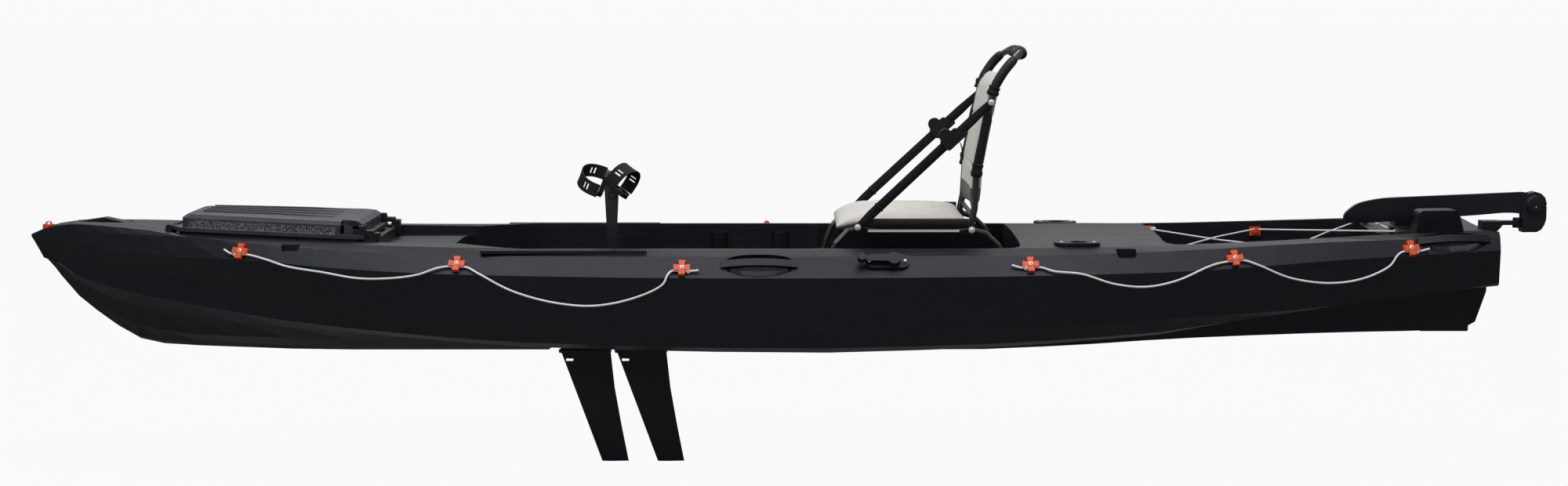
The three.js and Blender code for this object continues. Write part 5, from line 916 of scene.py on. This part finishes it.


# Seat trim: the cushion's black hem is sewn round each side tube of the base, above a bright steel
# strip, and a flap joins it to the cushion. Stainless bolts pin the straps and the back.
# Each section holds distances from the middle of the boat and heights, and runs straight aft.
hem_section = np.array([(0.2505, 0.3995), (0.2485, 0.4095), (0.2390, 0.4155), (0.2290, 0.4125),
                        (0.2265, 0.4030), (0.2275, 0.3940), (0.2330, 0.3870), (0.2390, 0.3835),
                        (0.2470, 0.3885)])
flap_section = np.array([(0.2300, 0.4040), (0.2030, 0.4015), (0.2030, 0.3985), (0.2300, 0.3975)])
hem_front, hem_back, flap_back = 0.322, 0.622, 0.588
cloth_black = woven("cloth_black", (0.014, 0.014, 0.016, 1), (0.005, 0.005, 0.006, 1), 0.0014, 0.1)
for side, port in (("port", -1), ("starboard", 1)):
    for name, section, end in (("hem", hem_section, hem_back), ("flap", flap_section, flap_back)):
        run = np.linspace(hem_front, end, 31)[:, None] * (1, 0, 0)
        fitted(sweep(f"seat_{name}_{side}", run, section * (-port, 1)), cloth_black, "root")
    # A thin bright steel strip runs along each side tube just below the hem.
    bright_strip = slab(f"seat_bright_strip_{side}", rounded_box(0.264, 0.007, 0.002),
                     (0.4635, port * 0.2494, 0.381), (1, 0, 0), (0, 0, 1), 0.0018, 0.0005)
    fitted(bright_strip, bright, "root")
washer_radius = 0.0092
bolt_head = np.array([(1.0, -0.25), (1.0, 0.16), (0.68, 0.20), (0.66, 0.46), (0.50, 0.60),
                      (0.34, 0.62), (0.30, 0.40), (0.02, 0.40)]) * washer_radius
for body, name, place in (("root", "front", (0.302, 0.2560, 0.392)),
                          ("root", "pivot", (0.631, 0.2515, 0.384)),
                          ("seat_back", "back", (0.685, 0.2325, 0.750))):
    ends = [(np.array(place) * (1, port, 1), (0, port, 0)) for port in (-1, 1)]
    fitted(turnings(f"seat_bolts_{name}", bolt_head, ends), bright, body)


# Back trim: cloth sleeves that hold the pad to the hoop, gathered in collars, foam grips on the
# curved corners, and a roll of cloth round the head bar.
def hoop_part(port, low, high):
    """The hoop's centre line on one side, between two heights."""
    line = spline(np.stack([hoop_x, port * hoop_y, hoop_z], -1), 10)
    height = np.linspace(low, high, 30)
    return np.stack([np.interp(height, line[:, 2], line[:, k]) for k in range(3)], -1)


lean = (-0.8, 0, 0.6)
foam_grey = polyethylene("foam_grey", (0.012, 0.0125, 0.015, 1), (0.035, 0.036, 0.042, 1),
                         0.55, 0.0016, 0.0005, 0.2)
for side, port in (("port", -1), ("starboard", 1)):
    for name, low, high, radius, puff, paint in (
            ("sleeve", 0.545, 0.720, 0.0135, 0.03, cloth_black),
            ("collar_low", 0.533, 0.572, 0.0165, 0.08, cloth_black),
            ("collar_high", 0.768, 0.795, 0.0170, 0.08, cloth_black),
            ("grip", 0.792, 0.873, 0.0140, 0.0, foam_grey)):
        part = hoop_part(port, low, high)
        share = np.linspace(0, 1, len(part))
        scale = (1 + puff * np.sin(9 * share + port)) * (1 - 0.25 * np.abs(2 * share - 1) ** 12)
        fitted(sweep(f"back_{name}_{side}", part, circle(radius, 18), up=lean, scale=scale),
               paint, "seat_back")
roll_share = np.linspace(-1, 1, 41)
roll_half, roll_x, roll_z, roll_radius = 0.136, 0.7825, 0.8865, 0.0190
roll_path = np.stack([roll_x + 0.004 * np.cos(3 * roll_share), roll_half * roll_share,
                      roll_z - 0.002 * roll_share ** 2], -1)
roll_scale = (1 + 0.04 * np.sin(14 * roll_share)) * (1 - 0.35 * np.abs(roll_share) ** 16)
roll = sweep("head_roll", roll_path, circle(roll_radius, 20, 0.92), scale=roll_scale)
fitted(roll, cloth_black, "seat_back")
